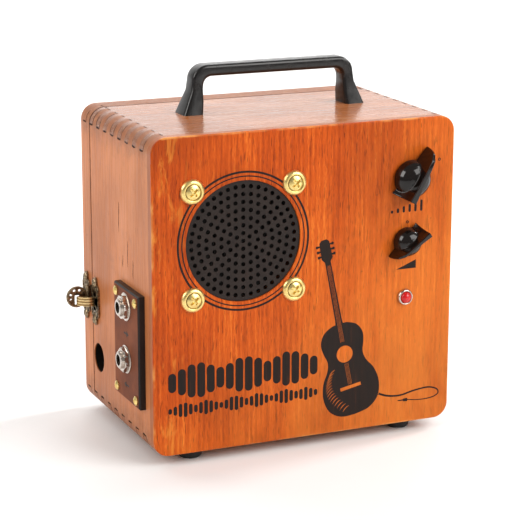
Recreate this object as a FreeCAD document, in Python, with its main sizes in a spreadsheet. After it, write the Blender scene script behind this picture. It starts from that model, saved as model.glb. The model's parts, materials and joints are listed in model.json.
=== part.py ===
import FreeCAD, Part
import math
import os
import re
import Sketcher

# A small practice amplifier in a wooden box with finger-jointed corners.
# Box coordinates: X to the right from the cabinet's centre, Y backwards from the front face,
# Z upwards from the cabinet's underside. at() moves them to the row's frame, whose origin
# lies on the resting surface under the middle of the whole object. Millimetres throughout.

DIMENSIONS = [
    ("box_x", 5.65, "cabinet centre in the row's frame, along X"),
    ("front_y", -50.4, "front face in the row's frame, along Y"),
    ("box_wide", 182, "cabinet width"),
    ("box_tall", 178, "cabinet height without feet"),
    ("box_deep", 116, "cabinet depth with the lid"),
    ("board", 9, "thickness of the boards, also the radius of the long edges"),
    ("front_thick", 6, "front panel"),
    ("back_thick", 4.4, "back board of the lid"),
    ("panel_round", 0.9, "rounding of the panel's outer edges"),
    ("seam_y", 100.5, "middle of the seam between cabinet and lid"),
    ("seam_gap", 0.5, "gap along the seam"),
    ("finger_count", 8, "fingers on each board end"),
    ("speaker_x", -37.8, "speaker centre"),
    ("speaker_z", 117.5, "speaker centre"),
    ("speaker_pitch", 60, "screw spacing of the speaker, both ways"),
    ("speaker_flange", 78, "side of the square flange"),
    ("speaker_hole_r", 2.2, "screw hole in flange and panel"),
    ("grille_seat_r", 33.9, "recess for the grille"),
    ("grille_seat_deep", 2, "depth of that recess"),
    ("sound_hole_r", 32.4, "opening behind the grille"),
    ("grille_r", 33.7, "grille disc"),
    ("grille_thick", 1.2, "grille disc"),
    ("grille_hole_r", 1.25, "one sound hole"),
    ("grille_ring", 4.35, "distance between rings of holes"),
    ("gasket_thick", 1.5, "speaker gasket"),
    ("gasket_in_r", 33.6, "speaker gasket"),
    ("gasket_out_r", 38.2, "speaker gasket"),
    ("flange_thick", 1.2, "speaker basket sheet"),
    ("basket_mouth_r", 31.5, "basket opening"),
    ("basket_rim_r", 35.4, "basket wall at the flange"),
    ("basket_back_r", 24, "basket wall at the back"),
    ("basket_step", 15, "depth where the wall turns straight"),
    ("basket_deep", 19.2, "depth of the basket"),
    ("basket_bore_r", 11.2, "hole in the basket's back"),
    ("magnet_r", 23, "magnet ring"),
    ("magnet_bore_r", 13, "magnet ring"),
    ("magnet_thick", 8, "magnet ring"),
    ("plate_r", 22, "top plate and pole plate"),
    ("plate_thick", 3, "top plate and pole plate"),
    ("pole_r", 9.3, "pole piece"),
    ("coil_in_r", 10, "voice coil former"),
    ("coil_out_r", 10.5, "voice coil former"),
    ("coil_low", 24, "voice coil's lower end, below the flange"),
    ("neck_deep", 13, "cone neck, below the flange"),
    ("cone_r", 27.2, "cone's outer edge"),
    ("cone_thick", 0.8, "paper"),
    ("roll_r", 31.4, "surround's roll, outer side"),
    ("surround_r", 33.5, "surround's lip"),
    ("spider_r", 22.6, "spider's outer edge"),
    ("spider_deep", 17.4, "spider, below the flange"),
    ("cup_r", 7.1, "cup washer"),
    ("cup_tall", 2.2, "cup washer"),
    ("screw_r", 1.95, "speaker screw shank"),
    ("screw_head_r", 4.1, "speaker screw head"),
    ("screw_long", 13.2, "speaker screw shank behind the panel's face"),
    ("nut_thick", 3.2, "speaker nut"),
    ("nut_r", 4.04, "speaker nut, across its corners, halved"),
    ("volume_x", 63.8, "volume control"),
    ("gain_x", 61.5, "gain control"),
    ("volume_z", 143.8, "volume control"),
    ("gain_z", 108, "gain control"),
    ("volume_turn", 61, "volume pointer, degrees from +X"),
    ("gain_turn", 215, "gain pointer, degrees from +X"),
    ("bush_hole_r", 3.7, "control hole in the panel"),
    ("bush_r", 3.5, "threaded bush of a control"),
    ("bush_long", 9.2, "bush, from the panel's back"),
    ("shaft_r", 3, "control shaft"),
    ("shaft_bore_r", 3.05, "bores that the shaft turns in"),
    ("shaft_out", 13.9, "shaft end, from the panel's back"),
    ("shaft_in", 6, "shaft end inside the control"),
    ("pot_r", 8.2, "control housing"),
    ("pot_deep", 9.5, "control housing"),
    ("pot_nut_r", 5.8, "control nut, across its corners, halved"),
    ("pot_nut_thick", 2, "control nut"),
    ("knob_gap", 0.7, "knob above the panel"),
    ("volume_tall", 14.5, "volume knob height"),
    ("volume_skirt", 11, "volume knob skirt, radius"),
    ("volume_tip", 20, "volume knob pointer from the axis"),
    ("volume_tail", 12.2, "volume knob tail from the axis"),
    ("volume_flare", 7.6, "volume knob bar at its tail, halved"),
    ("gain_tall", 13.6, "gain knob height"),
    ("gain_skirt", 8.4, "gain knob skirt, radius"),
    ("gain_tip", 13.8, "gain knob pointer from the axis"),
    ("gain_tail", 10.4, "gain knob tail from the axis"),
    ("gain_flare", 5.6, "gain knob bar at its tail, halved"),
    ("knob_hollow_r", 7, "hollow under the knob"),
    ("knob_hollow_deep", 3.4, "hollow under the knob"),
    ("knob_bore_deep", 7.6, "bore for the shaft"),
    ("lamp_x", 61.5, "indicator"),
    ("lamp_z", 75.4, "indicator"),
    ("lamp_r", 3.2, "indicator lens"),
    ("bezel_bore_r", 3.3, "indicator bezel"),
    ("bezel_barrel_r", 3.9, "indicator bezel"),
    ("bezel_r", 4.8, "indicator bezel flange"),
    ("bezel_hole_r", 4, "indicator hole in the panel"),
    ("plate_y", 31.8, "jack plate centre"),
    ("plate_z", 56.5, "jack plate centre"),
    ("plate_wide", 39, "jack plate, front to back"),
    ("plate_tall", 64.5, "jack plate"),
    ("plate_deep", 4, "jack plate thickness"),
    ("plate_chamfer", 0.8, "jack plate edge"),
    ("plate_pitch_y", 30.5, "jack plate screws"),
    ("plate_pitch_z", 55.5, "jack plate screws"),
    ("jack_y", 31.5, "both jacks"),
    ("output_z", 78.7, "output jack"),
    ("input_z", 48.5, "input jack"),
    ("jack_bore_r", 3.2, "bore for a quarter inch plug"),
    ("jack_bush_r", 4.75, "threaded bush"),
    ("jack_hole_r", 4.85, "hole in plate, nut and washer"),
    ("jack_out", 5, "bush beyond the plate"),
    ("jack_wide", 16, "jack housing"),
    ("jack_deep", 27, "jack housing's back, from the plate's face"),
    ("jack_bore_deep", 24, "plug bore's end, from the plate's face"),
    ("jack_nut_r", 7.3, "jack nut, across its corners, halved"),
    ("jack_nut_thick", 2.4, "jack nut"),
    ("jack_washer_r", 8, "jack washer"),
    ("jack_washer_thick", 0.8, "jack washer"),
    ("cutout_low", 37, "cutout behind the jack plate"),
    ("cutout_high", 87.3, "cutout behind the jack plate"),
    ("cutout_wide", 22, "cutout behind the jack plate"),
    ("access_y", 90.2, "access hole to the supply socket"),
    ("access_z", 32, "access hole"),
    ("access_r", 8.6, "access hole"),
    ("socket_nose_r", 5.5, "supply socket nose"),
    ("socket_bore_r", 2.8, "supply socket bore"),
    ("socket_pin_r", 1.05, "supply socket pin"),
    ("handle_x", 5.5, "handle centre"),
    ("handle_y", 62.5, "handle centre"),
    ("handle_half", 56, "handle half length at its feet"),
    ("handle_shoulder", 50.5, "handle half length under the shoulder"),
    ("handle_tall", 27.5, "handle height"),
    ("handle_bar", 6.6, "handle bar thickness"),
    ("handle_inner", 44.2, "half of the grip gap"),
    ("handle_foot_deep", 16, "handle foot, front to back"),
    ("handle_bar_deep", 11, "handle bar, front to back"),
    ("handle_screw_x", 48.3, "handle screws from its centre"),
    ("handle_hole_r", 2.6, "handle screw hole in the top board"),
    ("handle_thread_r", 2.5, "handle screw hole in the handle"),
    ("foot_tall", 6, "rubber foot"),
    ("foot_r", 7.4, "rubber foot"),
    ("foot_x", 65, "feet from the centre"),
    ("foot_front", 13, "front feet from the front face"),
    ("foot_back", 87, "back feet from the front face"),
    ("hinge_out", 2.1, "hinge pin axis beyond the side"),
    ("hinge_knuckle_r", 2, "hinge knuckle"),
    ("hinge_pin_r", 1, "hinge pin"),
    ("hinge_bore_r", 1.05, "hinge bore"),
    ("hinge_tall", 24, "hinge height"),
    ("hinge_leaf", 11, "hinge leaf, from the pin"),
    ("hinge_low_z", 36, "lower hinge"),
    ("hinge_high_z", 142, "upper hinge"),
    ("latch_z", 65.5, "latch plates' centre"),
    ("latch_tall", 28.5, "latch plates"),
    ("latch_thick", 1.2, "latch plates"),
    ("keeper_back", 99.3, "keeper plate's back edge"),
    ("latch_wide", 12, "latch plates"),
    ("hasp_pin_y", 101.3, "hasp pin axis"),
    ("hasp_pin_out", 2.7, "hasp pin axis beyond the side"),
    ("hasp_pin_r", 0.6, "hasp pin"),
    ("hasp_bore_r", 0.65, "hasp bore"),
    ("hasp_knuckle_r", 1.4, "hasp knuckle"),
    ("hasp_z", 67, "hasp disc's centre"),
    ("hasp_disc_r", 6, "hasp disc"),
    ("hasp_reach", 6.7, "hasp disc's centre from its pin"),
    ("hasp_thick", 1, "hasp disc"),
    ("tongue_z", 65.2, "keeper tongue's centre"),
    ("tongue_tall", 5.2, "keeper tongue"),
    ("tongue_in", 5.6, "keeper tongue's arc, inner radius about the pin"),
    ("tongue_out", 7.8, "keeper tongue's arc, outer radius about the pin"),
    ("circuit_wide", 108, "circuit board"),
    ("circuit_deep", 54, "circuit board"),
    ("circuit_thick", 1.6, "circuit board"),
    ("circuit_x", -4, "circuit board centre"),
    ("circuit_y", 62, "circuit board centre"),
    ("standoff_tall", 10, "circuit board standoffs"),
    ("standoff_r", 3, "circuit board standoffs"),
    ("tube_x", 24, "preamplifier tube"),
    ("tube_y", 62, "preamplifier tube"),
    ("tube_r", 10, "preamplifier tube"),
    ("tube_tall", 42, "preamplifier tube above its socket"),
    ("tube_socket_tall", 8, "tube socket"),
    ("tube_socket_r", 11, "tube socket"),
    ("sink_x", -34, "heatsink"),
    ("sink_y", 78, "heatsink"),
    ("sink_wide", 32, "heatsink"),
    ("sink_deep", 14, "heatsink"),
    ("sink_tall", 26, "heatsink"),
    ("lead_r", 1.3, "sleeved lead"),
    ("small_hole_r", 1.45, "pilot hole of a small screw"),
    ("small_screw_r", 1.4, "small screw shank"),
    ("small_head_r", 2.6, "small screw head"),
    ("foot_hole_r", 1.95, "pilot hole of a foot screw"),
    ("foot_screw_r", 1.9, "foot screw shank"),
]

doc = FreeCAD.newDocument("amplifier")
sheet = doc.addObject("Spreadsheet::Sheet", "sheet")
for row, (alias, number, note) in enumerate(DIMENSIONS, 1):
    sheet.set(f"A{row}", alias)
    sheet.set(f"B{row}", str(number))
    sheet.setAlias(f"B{row}", alias)
    sheet.set(f"C{row}", note)
doc.recompute()

ALIASES = {alias for alias, number, note in DIMENSIONS}
WORD = re.compile(r"[a-z]+(?:_[a-z0-9]+)*")
ORIGIN = FreeCAD.Vector(0, 0, 0)
X_AXIS = FreeCAD.Vector(1, 0, 0)
Y_AXIS = FreeCAD.Vector(0, 1, 0)
Z_AXIS = FreeCAD.Vector(0, 0, 1)
# Turns that point a piece's own +Z, its outer side, this way.
FACING = {
    "up": FreeCAD.Rotation(),
    "down": FreeCAD.Rotation(X_AXIS, 180),
    "front": FreeCAD.Rotation(X_AXIS, 90),
    "back": FreeCAD.Rotation(X_AXIS, -90),
    "left": FreeCAD.Rotation(Y_AXIS, -90),
    "right": FreeCAD.Rotation(Y_AXIS, 90),
}
subparts = []


def cell(text):
    """An expression in which each alias reads its cell of the sheet."""
    return WORD.sub(lambda word: ("sheet." if word.group() in ALIASES else "") + word.group(), str(text))


def value(text):
    return float(sheet.evalExpression(cell(text)))


def at(piece, x="0", y="0", z="0", facing="up", turn=0):
    """Puts a piece at box coordinates, its own +Z facing outwards."""
    piece.Placement = FreeCAD.Placement(ORIGIN, FACING[facing] * FreeCAD.Rotation(Z_AXIS, turn))
    piece.setExpression("Placement.Base.x", cell(f"box_x + ({x})"))
    piece.setExpression("Placement.Base.y", cell(f"front_y + ({y})"))
    piece.setExpression("Placement.Base.z", cell(f"foot_tall + ({z})"))
    return piece


def keep(piece):
    """Counts a piece among the sub-parts that are written out."""
    subparts.append(piece)
    return piece


def new_body(label):
    body = doc.addObject("PartDesign::Body", label)
    body.Label = label
    return body


def origin_feature(body, role):
    return [feature for feature in body.Origin.OriginFeatures if feature.Role == role][0]


def new_sketch(body, role, offset="0"):
    sketch = body.newObject("Sketcher::SketchObject", body.Name + "_sketch")
    sketch.AttachmentSupport = [(origin_feature(body, role), "")]
    sketch.MapMode = "FlatFace"
    sketch.setExpression("AttachmentOffset.Base.z", cell(offset))
    return sketch


def pin_point(sketch, geometry, point, u, v):
    """Holds one point of a sketch at distances from the sketch's origin."""
    for kind, text in (("DistanceX", u), ("DistanceY", v)):
        index = sketch.addConstraint(Sketcher.Constraint(kind, -1, 1, geometry, point, value(text)))
        sketch.setExpression(f"Constraints[{index}]", cell(text))


def polygon(sketch, points):
    """A closed outline through points given as expressions."""
    corners = [FreeCAD.Vector(value(u), value(v), 0) for u, v in points]
    first = sketch.GeometryCount
    count = len(points)
    for k in range(count):
        sketch.addGeometry(Part.LineSegment(corners[k], corners[(k + 1) % count]))
    for k in range(count):
        sketch.addConstraint(Sketcher.Constraint("Coincident", first + k, 2, first + (k + 1) % count, 1))
    for k, (u, v) in enumerate(points):
        pin_point(sketch, first + k, 1, u, v)
    return sketch


def rectangle(sketch, low_u, high_u, low_v, high_v):
    return polygon(sketch, [(low_u, low_v), (high_u, low_v), (high_u, high_v), (low_u, high_v)])


def circle(sketch, u, v, radius):
    centre = FreeCAD.Vector(value(u), value(v), 0)
    index = sketch.addGeometry(Part.Circle(centre, Z_AXIS, value(radius)))
    pin_point(sketch, index, 3, u, v)
    size = sketch.addConstraint(Sketcher.Constraint("Radius", index, value(radius)))
    sketch.setExpression(f"Constraints[{size}]", cell(radius))
    return sketch


def quarter_disc(sketch, u, v, radius, right, up):
    """A quarter of a disc about (u, v), in the quadrant that right and up (+1 or -1) name."""
    centre = FreeCAD.Vector(value(u), value(v), 0)
    size = value(radius)
    quadrant = {(1, 1): 0, (-1, 1): 1, (-1, -1): 2, (1, -1): 3}[(right, up)]
    start, end = quadrant * math.pi / 2, (quadrant + 1) * math.pi / 2
    arc = Part.ArcOfCircle(Part.Circle(centre, Z_AXIS, size), start, end)
    curve = sketch.addGeometry(arc)
    first = sketch.addGeometry(Part.LineSegment(centre, arc.StartPoint))
    last = sketch.addGeometry(Part.LineSegment(arc.EndPoint, centre))
    for pair in ((curve, 1, first, 2), (curve, 2, last, 1), (curve, 3, first, 1), (curve, 3, last, 2)):
        sketch.addConstraint(Sketcher.Constraint("Coincident", *pair))
    level, upright = (first, last) if quadrant % 2 == 0 else (last, first)
    sketch.addConstraint(Sketcher.Constraint("Horizontal", level))
    sketch.addConstraint(Sketcher.Constraint("Vertical", upright))
    pin_point(sketch, curve, 3, u, v)
    index = sketch.addConstraint(Sketcher.Constraint("Radius", curve, size))
    sketch.setExpression(f"Constraints[{index}]", cell(radius))
    return sketch


def feature_of(body, kind, sketch, length=None, flip=False, middle=False):
    """A Pad or Pocket of a sketch; with no length it runs right through, both ways."""
    feature = body.newObject("PartDesign::" + kind, body.Name + "_" + kind.lower())
    feature.Profile = sketch
    feature.Reversed = flip
    if length is None:
        feature.Type = "ThroughAll"
        feature.Midplane = True
    else:
        feature.Midplane = middle
        feature.setExpression("Length", cell(length))
    doc.recompute()
    return feature


def pad(body, sketch, length, flip=False, middle=False):
    return feature_of(body, "Pad", sketch, length, flip, middle)


def pocket(body, sketch, length=None, flip=False, middle=False):
    before = body.Shape.Volume
    feature = feature_of(body, "Pocket", sketch, length, flip, middle)
    if body.Shape.Volume > before - 1e-6:
        raise RuntimeError(f"{body.Label}: a pocket cuts nothing")
    return feature


def drill(body, role, spots, radius, length=None, offset="0", flip=False):
    """Round holes at spots of one plane, in one pocket."""
    sketch = new_sketch(body, role, offset)
    for u, v in spots:
        circle(sketch, u, v, radius)
    return pocket(body, sketch, length, flip)


def revolve(body, points, kind="Revolution"):
    """Turns an outline of (radius, height) points about the body's Z axis."""
    feature = body.newObject("PartDesign::" + kind, body.Name + "_turned")
    feature.Profile = polygon(new_sketch(body, "XZ_Plane"), points)
    feature.ReferenceAxis = (origin_feature(body, "Z_Axis"), [""])
    feature.Angle = 360
    doc.recompute()
    return feature


def turned(label, points):
    body = new_body(label)
    revolve(body, points)
    return body


def around(body, feature, count):
    """Repeats a feature round the body's Z axis."""
    pattern = body.newObject("PartDesign::PolarPattern", body.Name + "_polar")
    pattern.Originals = [feature]
    pattern.Axis = (origin_feature(body, "Z_Axis"), [""])
    pattern.Angle = 360
    pattern.Occurrences = count
    body.Tip = pattern
    doc.recompute()
    return pattern


def dress(body, kind, size, wanted):
    """A Fillet or Chamfer on the edges that wanted() picks."""
    base = body.Tip
    names = [f"Edge{k}" for k, edge in enumerate(base.Shape.Edges, 1) if wanted(edge)]
    feature = body.newObject("PartDesign::" + kind, body.Name + "_" + kind.lower())
    feature.Base = (base, names)
    feature.setExpression("Radius" if kind == "Fillet" else "Size", cell(size))
    doc.recompute()
    if not feature.isValid():
        raise RuntimeError(f"{body.Label}: {kind} failed on {len(names)} edges")
    return feature


def copies(label, pattern_piece, places):
    """One node that holds a copy of a piece at each place, as separate solids."""
    group = group_of(label, [at(linked(label + "_copy", pattern_piece), *place) for place in places])
    doc.recompute()
    return keep(group)


def linked(label, pattern_piece):
    link = doc.addObject("App::Link", label)
    link.LinkedObject = pattern_piece
    return link


def group_of(label, pieces):
    """One node that holds several separate solids."""
    group = doc.addObject("Part::Compound", label)
    group.Label = label
    group.Links = pieces
    return group


def primitive(kind, label, **sizes):
    piece = doc.addObject("Part::" + kind, label)
    for name, text in sizes.items():
        piece.setExpression(name, cell(text))
    return piece


def moved(piece, x="0", y="0", z="0", rotation=None):
    """Moves a primitive within its sub-part's own frame."""
    if rotation is not None:
        piece.Placement = FreeCAD.Placement(ORIGIN, rotation)
    for letter, text in zip("xyz", (x, y, z)):
        piece.setExpression(f"Placement.Base.{letter}", cell(text))
    return piece


def block(label, low, high):
    """A box between two corners given as expressions."""
    sizes = [f"({b}) - ({a})" for a, b in zip(low, high)]
    box = primitive("Box", label, Length=sizes[0], Width=sizes[1], Height=sizes[2])
    return moved(box, *low)


def rod(label, radius, low, high, x="0", y="0"):
    piece = primitive("Cylinder", label, Radius=radius, Height=f"({high}) - ({low})")
    return moved(piece, x, y, low)


def hexagon(label, corner_r, low, high):
    piece = primitive("Prism", label, Circumradius=corner_r, Height=f"({high}) - ({low})")
    piece.Polygon = 6
    return moved(piece, "0", "0", low)


def fuse(label, pieces):
    joined = doc.addObject("Part::MultiFuse", label)
    joined.Shapes = pieces
    joined.Refine = True
    return joined


def cut(label, base, tool):
    result = doc.addObject("Part::Cut", label)
    result.Base = base
    result.Tool = tool
    doc.recompute()
    if result.Shape.Volume > base.Shape.Volume - 1e-6:
        raise RuntimeError(f"{label}: the tool cuts nothing")
    return result


# ---------------------------------------------------------------- boards

HALF = "box_wide / 2"
INNER = "box_wide / 2 - board"
HIGH = "box_tall - board"
CABINET_START = "front_thick"
CABINET_RUN = "seam_y - seam_gap / 2 - front_thick"
LID_START = "seam_y + seam_gap / 2"
LID_RUN = "box_deep - back_thick - seam_y - seam_gap / 2"


def finger_joints(body, spots, start, run, fingers, shift):
    """Fingers with rounded outer corners, one every other pitch along the board's ends."""
    pitch = f"({run}) / (2 * {fingers})"
    sketch = new_sketch(body, "XZ_Plane", f"-({start}) - {shift} * {pitch}")
    for u, v, right, up in spots:
        quarter_disc(sketch, u, v, "board", right, up)
    finger = pad(body, sketch, pitch, flip=True)
    if fingers == "1":
        return
    pattern = body.newObject("PartDesign::LinearPattern", body.Name + "_row")
    pattern.Originals = [finger]
    pattern.Direction = (origin_feature(body, "Y_Axis"), [""])
    pattern.Mode = "Spacing"
    pattern.setExpression("Offset", cell(f"2 * {pitch}"))
    pattern.setExpression("Occurrences", cell(fingers))
    body.Tip = pattern
    doc.recompute()


def side_board(label, side, start, run, fingers):
    """A left (-1) or right (+1) board, with its fingers at top and bottom."""
    body = new_body(label)
    edges = sorted((f"{side} * ({INNER})", f"{side} * ({HALF})"), key=value)
    board = rectangle(new_sketch(body, "XZ_Plane", f"-({start})"), *edges, "board", HIGH)
    pad(body, board, run, flip=True)
    inner = f"{side} * ({INNER})"
    finger_joints(body, [(inner, HIGH, side, 1), (inner, "board", side, -1)], start, run, fingers, 0)
    return body


def flat_board(label, top, start, run, fingers):
    """A top (True) or bottom (False) board, with its fingers at left and right."""
    body = new_body(label)
    low, high, level, up = (HIGH, "box_tall", HIGH, 1) if top else ("0", "board", "board", -1)
    board = rectangle(new_sketch(body, "XZ_Plane", f"-({start})"), f"-({INNER})", INNER, low, high)
    pad(body, board, run, flip=True)
    finger_joints(body, [(f"-({INNER})", level, -1, up), (INNER, level, 1, up)], start, run, fingers, 1)
    return body


def upright_edge(edge):
    """A straight edge that runs front to back."""
    direction = edge.Vertexes[-1].Point - edge.Vertexes[0].Point
    return edge.Length > 1 and abs(abs(direction.y) - edge.Length) < 1e-4


def panel(label, thick, worn_y):
    """A full-size panel with rounded corners; its outer face's rim is worn round."""
    body = new_body(label)
    face = rectangle(new_sketch(body, "XZ_Plane"), f"-({HALF})", HALF, "0", "box_tall")
    pad(body, face, thick, flip=True)
    dress(body, "Fillet", "board", upright_edge)
    level = value(worn_y)
    box = body.Tip.Shape.BoundBox
    dress(body, "Fillet", "panel_round", lambda edge: abs(edge.BoundBox.YMax - level) < 1e-4
          and abs(edge.BoundBox.YMin - level) < 1e-4 and edge.BoundBox.DiagonalLength < box.DiagonalLength)
    return body


def speaker_spots(x="0", z="0"):
    return [(f"{x} + {i} * speaker_pitch / 2", f"{z} + {k} * speaker_pitch / 2")
            for i in (-1, 1) for k in (-1, 1)]


def make_front_panel():
    body = panel("front_panel", "front_thick", "0")
    seat = circle(new_sketch(body, "XZ_Plane"), "speaker_x", "speaker_z", "grille_seat_r")
    pocket(body, seat, "grille_seat_deep")
    drill(body, "XZ_Plane", [("speaker_x", "speaker_z")], "sound_hole_r")
    drill(body, "XZ_Plane", speaker_spots("speaker_x", "speaker_z"), "speaker_hole_r")
    drill(body, "XZ_Plane", [("volume_x", "volume_z"), ("gain_x", "gain_z")], "bush_hole_r")
    drill(body, "XZ_Plane", [("lamp_x", "lamp_z")], "bezel_hole_r")
    keep(at(body))


def make_boards():
    left = side_board("left_board", -1, CABINET_START, CABINET_RUN, "finger_count")
    window = rectangle(new_sketch(left, "YZ_Plane"), "jack_y - cutout_wide / 2", "jack_y + cutout_wide / 2",
                       "cutout_low", "cutout_high")
    pocket(left, window)
    drill(left, "YZ_Plane", [("access_y", "access_z")], "access_r")
    drill(left, "YZ_Plane", plate_screw_spots("plate_y", "plate_z"), "small_hole_r", "8", f"-({HALF})", True)
    drill(left, "YZ_Plane", latch_screw_spots("keeper_back - latch_wide / 2"), "small_hole_r", "7",
          f"-({HALF})", True)
    drill(left, "YZ_Plane", bracket_screw_spots(), "small_hole_r", "6", f"-({INNER})")
    keep(at(left))
    right = side_board("right_board", 1, CABINET_START, CABINET_RUN, "finger_count")
    drill(right, "YZ_Plane", hinge_screw_spots(-1), "small_hole_r", "7", HALF)
    keep(at(right))
    top = flat_board("top_board", True, CABINET_START, CABINET_RUN, "finger_count")
    spots = [(f"handle_x + {i} * handle_screw_x", "handle_y") for i in (-1, 1)]
    drill(top, "XY_Plane", spots, "handle_hole_r")
    keep(at(top))
    bottom = flat_board("bottom_board", False, CABINET_START, CABINET_RUN, "finger_count")
    drill(bottom, "XY_Plane", foot_spots(), "foot_hole_r", "7.5", "0", True)
    drill(bottom, "XY_Plane", standoff_spots(), "small_hole_r", "6", "board")
    keep(at(bottom))


def plate_screw_spots(y, z):
    return [(f"{y} + {i} * plate_pitch_y / 2", f"{z} + {k} * plate_pitch_z / 2")
            for i in (-1, 1) for k in (-1, 1)]


def latch_screw_spots(y):
    return [(y, f"latch_z + {k} * 11") for k in (-1, 1)]


def bracket_screw_spots():
    return [("76", f"access_z + {k} * 7") for k in (-1, 1)]


def hinge_screw_spots(side):
    return [(f"seam_y + {side} * 6.6", f"{z} + {k} * 7.5")
            for z in ("hinge_low_z", "hinge_high_z") for k in (-1, 1)]


def foot_spots():
    return [(f"{i} * foot_x", y) for i in (-1, 1) for y in ("foot_front", "foot_back")]


def standoff_spots():
    return [(f"circuit_x + {i} * (circuit_wide / 2 - 4)", f"circuit_y + {k} * (circuit_deep / 2 - 4)")
            for i in (-1, 1) for k in (-1, 1)]


def make_lid():
    rails = [
        side_board("lid_left_rail", -1, LID_START, LID_RUN, "1"),
        side_board("lid_right_rail", 1, LID_START, LID_RUN, "1"),
        flat_board("lid_top_rail", True, LID_START, LID_RUN, "1"),
        flat_board("lid_bottom_rail", False, LID_START, LID_RUN, "1"),
    ]
    drill(rails[0], "YZ_Plane", latch_screw_spots(LATCH_LID_Y), "small_hole_r", "7", f"-({HALF})", True)
    drill(rails[1], "YZ_Plane", hinge_screw_spots(1), "small_hole_r", "7", HALF)
    keep(at(group_of("lid_rails", rails)))
    back = panel("back_board", "back_thick", "back_thick")
    keep(at(back, "0", "box_deep - back_thick"))


# ---------------------------------------------------------------- screws

def screw(label, head_r, head_tall, shank_r, long, slot=True):
    """A round-headed screw; its head sits on z = 0."""
    body = turned(label, [
        ("0", head_tall), (f"0.45 * {head_r}", f"0.93 * {head_tall}"),
        (f"0.8 * {head_r}", f"0.62 * {head_tall}"),
        (head_r, "0"), (shank_r, "0"), (shank_r, f"-({long})"), ("0", f"-({long})"),
    ])
    if slot:
        cross_cut(body, f"0.16 * {head_r}", f"0.95 * {head_r}", head_tall, f"0.45 * {head_tall}", 1)
    return body


def cross_cut(body, half_wide, half_long, top, deep, arms):
    """A slot (one arm) or a cross recess (two arms) in a screw's head."""
    for arm in range(arms):
        sizes = (half_long, half_wide) if arm == 0 else (half_wide, half_long)
        slot = rectangle(new_sketch(body, "XY_Plane", top), f"-({sizes[0]})", sizes[0],
                         f"-({sizes[1]})", sizes[1])
        pocket(body, slot, deep)


def make_small_screws():
    brass = screw("case_screw", "small_head_r", "1.3", "small_screw_r", "6")
    left, right = f"-({HALF})", HALF
    leaf_face = f"{right} + 1"
    plate_face = f"{left} - latch_thick"
    copies("case_screws", brass, [(leaf_face, y, z, "right") for y, z in hinge_screw_spots(-1)]
           + [(plate_face, y, z, "left") for y, z in latch_screw_spots("keeper_back - latch_wide / 2")])
    copies("lid_screws", brass, [(leaf_face, y, z, "right") for y, z in hinge_screw_spots(1)]
           + [(plate_face, y, z, "left") for y, z in latch_screw_spots(LATCH_LID_Y)])
    chassis = screw("chassis_screw", "small_head_r", "1.8", "small_screw_r", "6.6")
    circuit_top = "board + standoff_tall + circuit_thick"
    copies("chassis_screws", chassis, [(x, y, circuit_top, "up") for x, y in standoff_spots()]
           + [(f"-({INNER}) + 1.5", y, z, "right") for y, z in bracket_screw_spots()])


# ---------------------------------------------------------------- handle and feet

def make_handle():
    body = new_body("carry_handle")
    bar_low = "handle_tall - handle_bar"
    top_half = "handle_shoulder - 0.9"
    inner_half = "handle_inner - 1"
    outline = polygon(new_sketch(body, "XZ_Plane"), [
        ("-handle_half", "0"), ("-handle_shoulder", "14"), (f"-({top_half})", "handle_tall"),
        (top_half, "handle_tall"), ("handle_shoulder", "14"), ("handle_half", "0"), ("handle_inner", "0"),
        (inner_half, bar_low), (f"-({inner_half})", bar_low), ("-handle_inner", "0"),
    ])
    pad(body, outline, "handle_foot_deep", middle=True)
    slim = new_sketch(body, "YZ_Plane")
    for side in ("-1", "1"):
        polygon(slim, [(f"{side} * handle_foot_deep / 2", "0"), (f"{side} * handle_bar_deep / 2", "17"),
                       (f"{side} * handle_bar_deep / 2", "handle_tall + 1"),
                       (f"{side} * (handle_foot_deep / 2 + 1)", "handle_tall + 1"),
                       (f"{side} * (handle_foot_deep / 2 + 1)", "0")])
    pocket(body, slim)
    top, low = value("handle_tall"), value(bar_low)
    dress(body, "Fillet", "9", lambda edge: upright_edge(edge) and abs(edge.BoundBox.ZMin - top) < 1e-3)
    dress(body, "Fillet", "5", lambda edge: upright_edge(edge) and abs(edge.BoundBox.ZMin - low) < 1e-3)
    dress(body, "Fillet", "1.3", lambda edge: edge.BoundBox.ZMax > 1 and not upright_edge(edge)
          and edge.BoundBox.YLength < 3.5)
    spots = [(f"{i} * handle_screw_x", "0") for i in (-1, 1)]
    drill(body, "XY_Plane", spots, "handle_thread_r", "11", "0", True)
    keep(at(body, "handle_x", "handle_y", "box_tall"))
    long_screw = screw("handle_screw", "4.5", "3", "2.45", "19")
    copies("handle_screws", long_screw,
           [(f"handle_x + {i} * handle_screw_x", "handle_y", HIGH, "down") for i in (-1, 1)])


def make_feet():
    foot = turned("rubber_foot", [
        ("foot_hole_r + 0.2", "0"), ("foot_r", "0"), ("foot_r", "1.2"), ("foot_r - 0.9", "foot_tall - 0.8"),
        ("foot_r - 1.7", "foot_tall"), ("4.4", "foot_tall"), ("4.4", "3"), ("foot_hole_r + 0.2", "3"),
    ])
    copies("rubber_feet", foot, [(x, y, "0", "down") for x, y in foot_spots()])
    foot_screw = screw("foot_screw", "3.6", "2", "foot_screw_r", "10")
    copies("foot_screws", foot_screw, [(x, y, "-3", "down") for x, y in foot_spots()])


# ---------------------------------------------------------------- speaker, z = 0 on the flange's front

SPEAKER_AT = ("speaker_x", "front_thick + gasket_thick", "speaker_z", "front")
GRILLE_RINGS = 7


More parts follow.
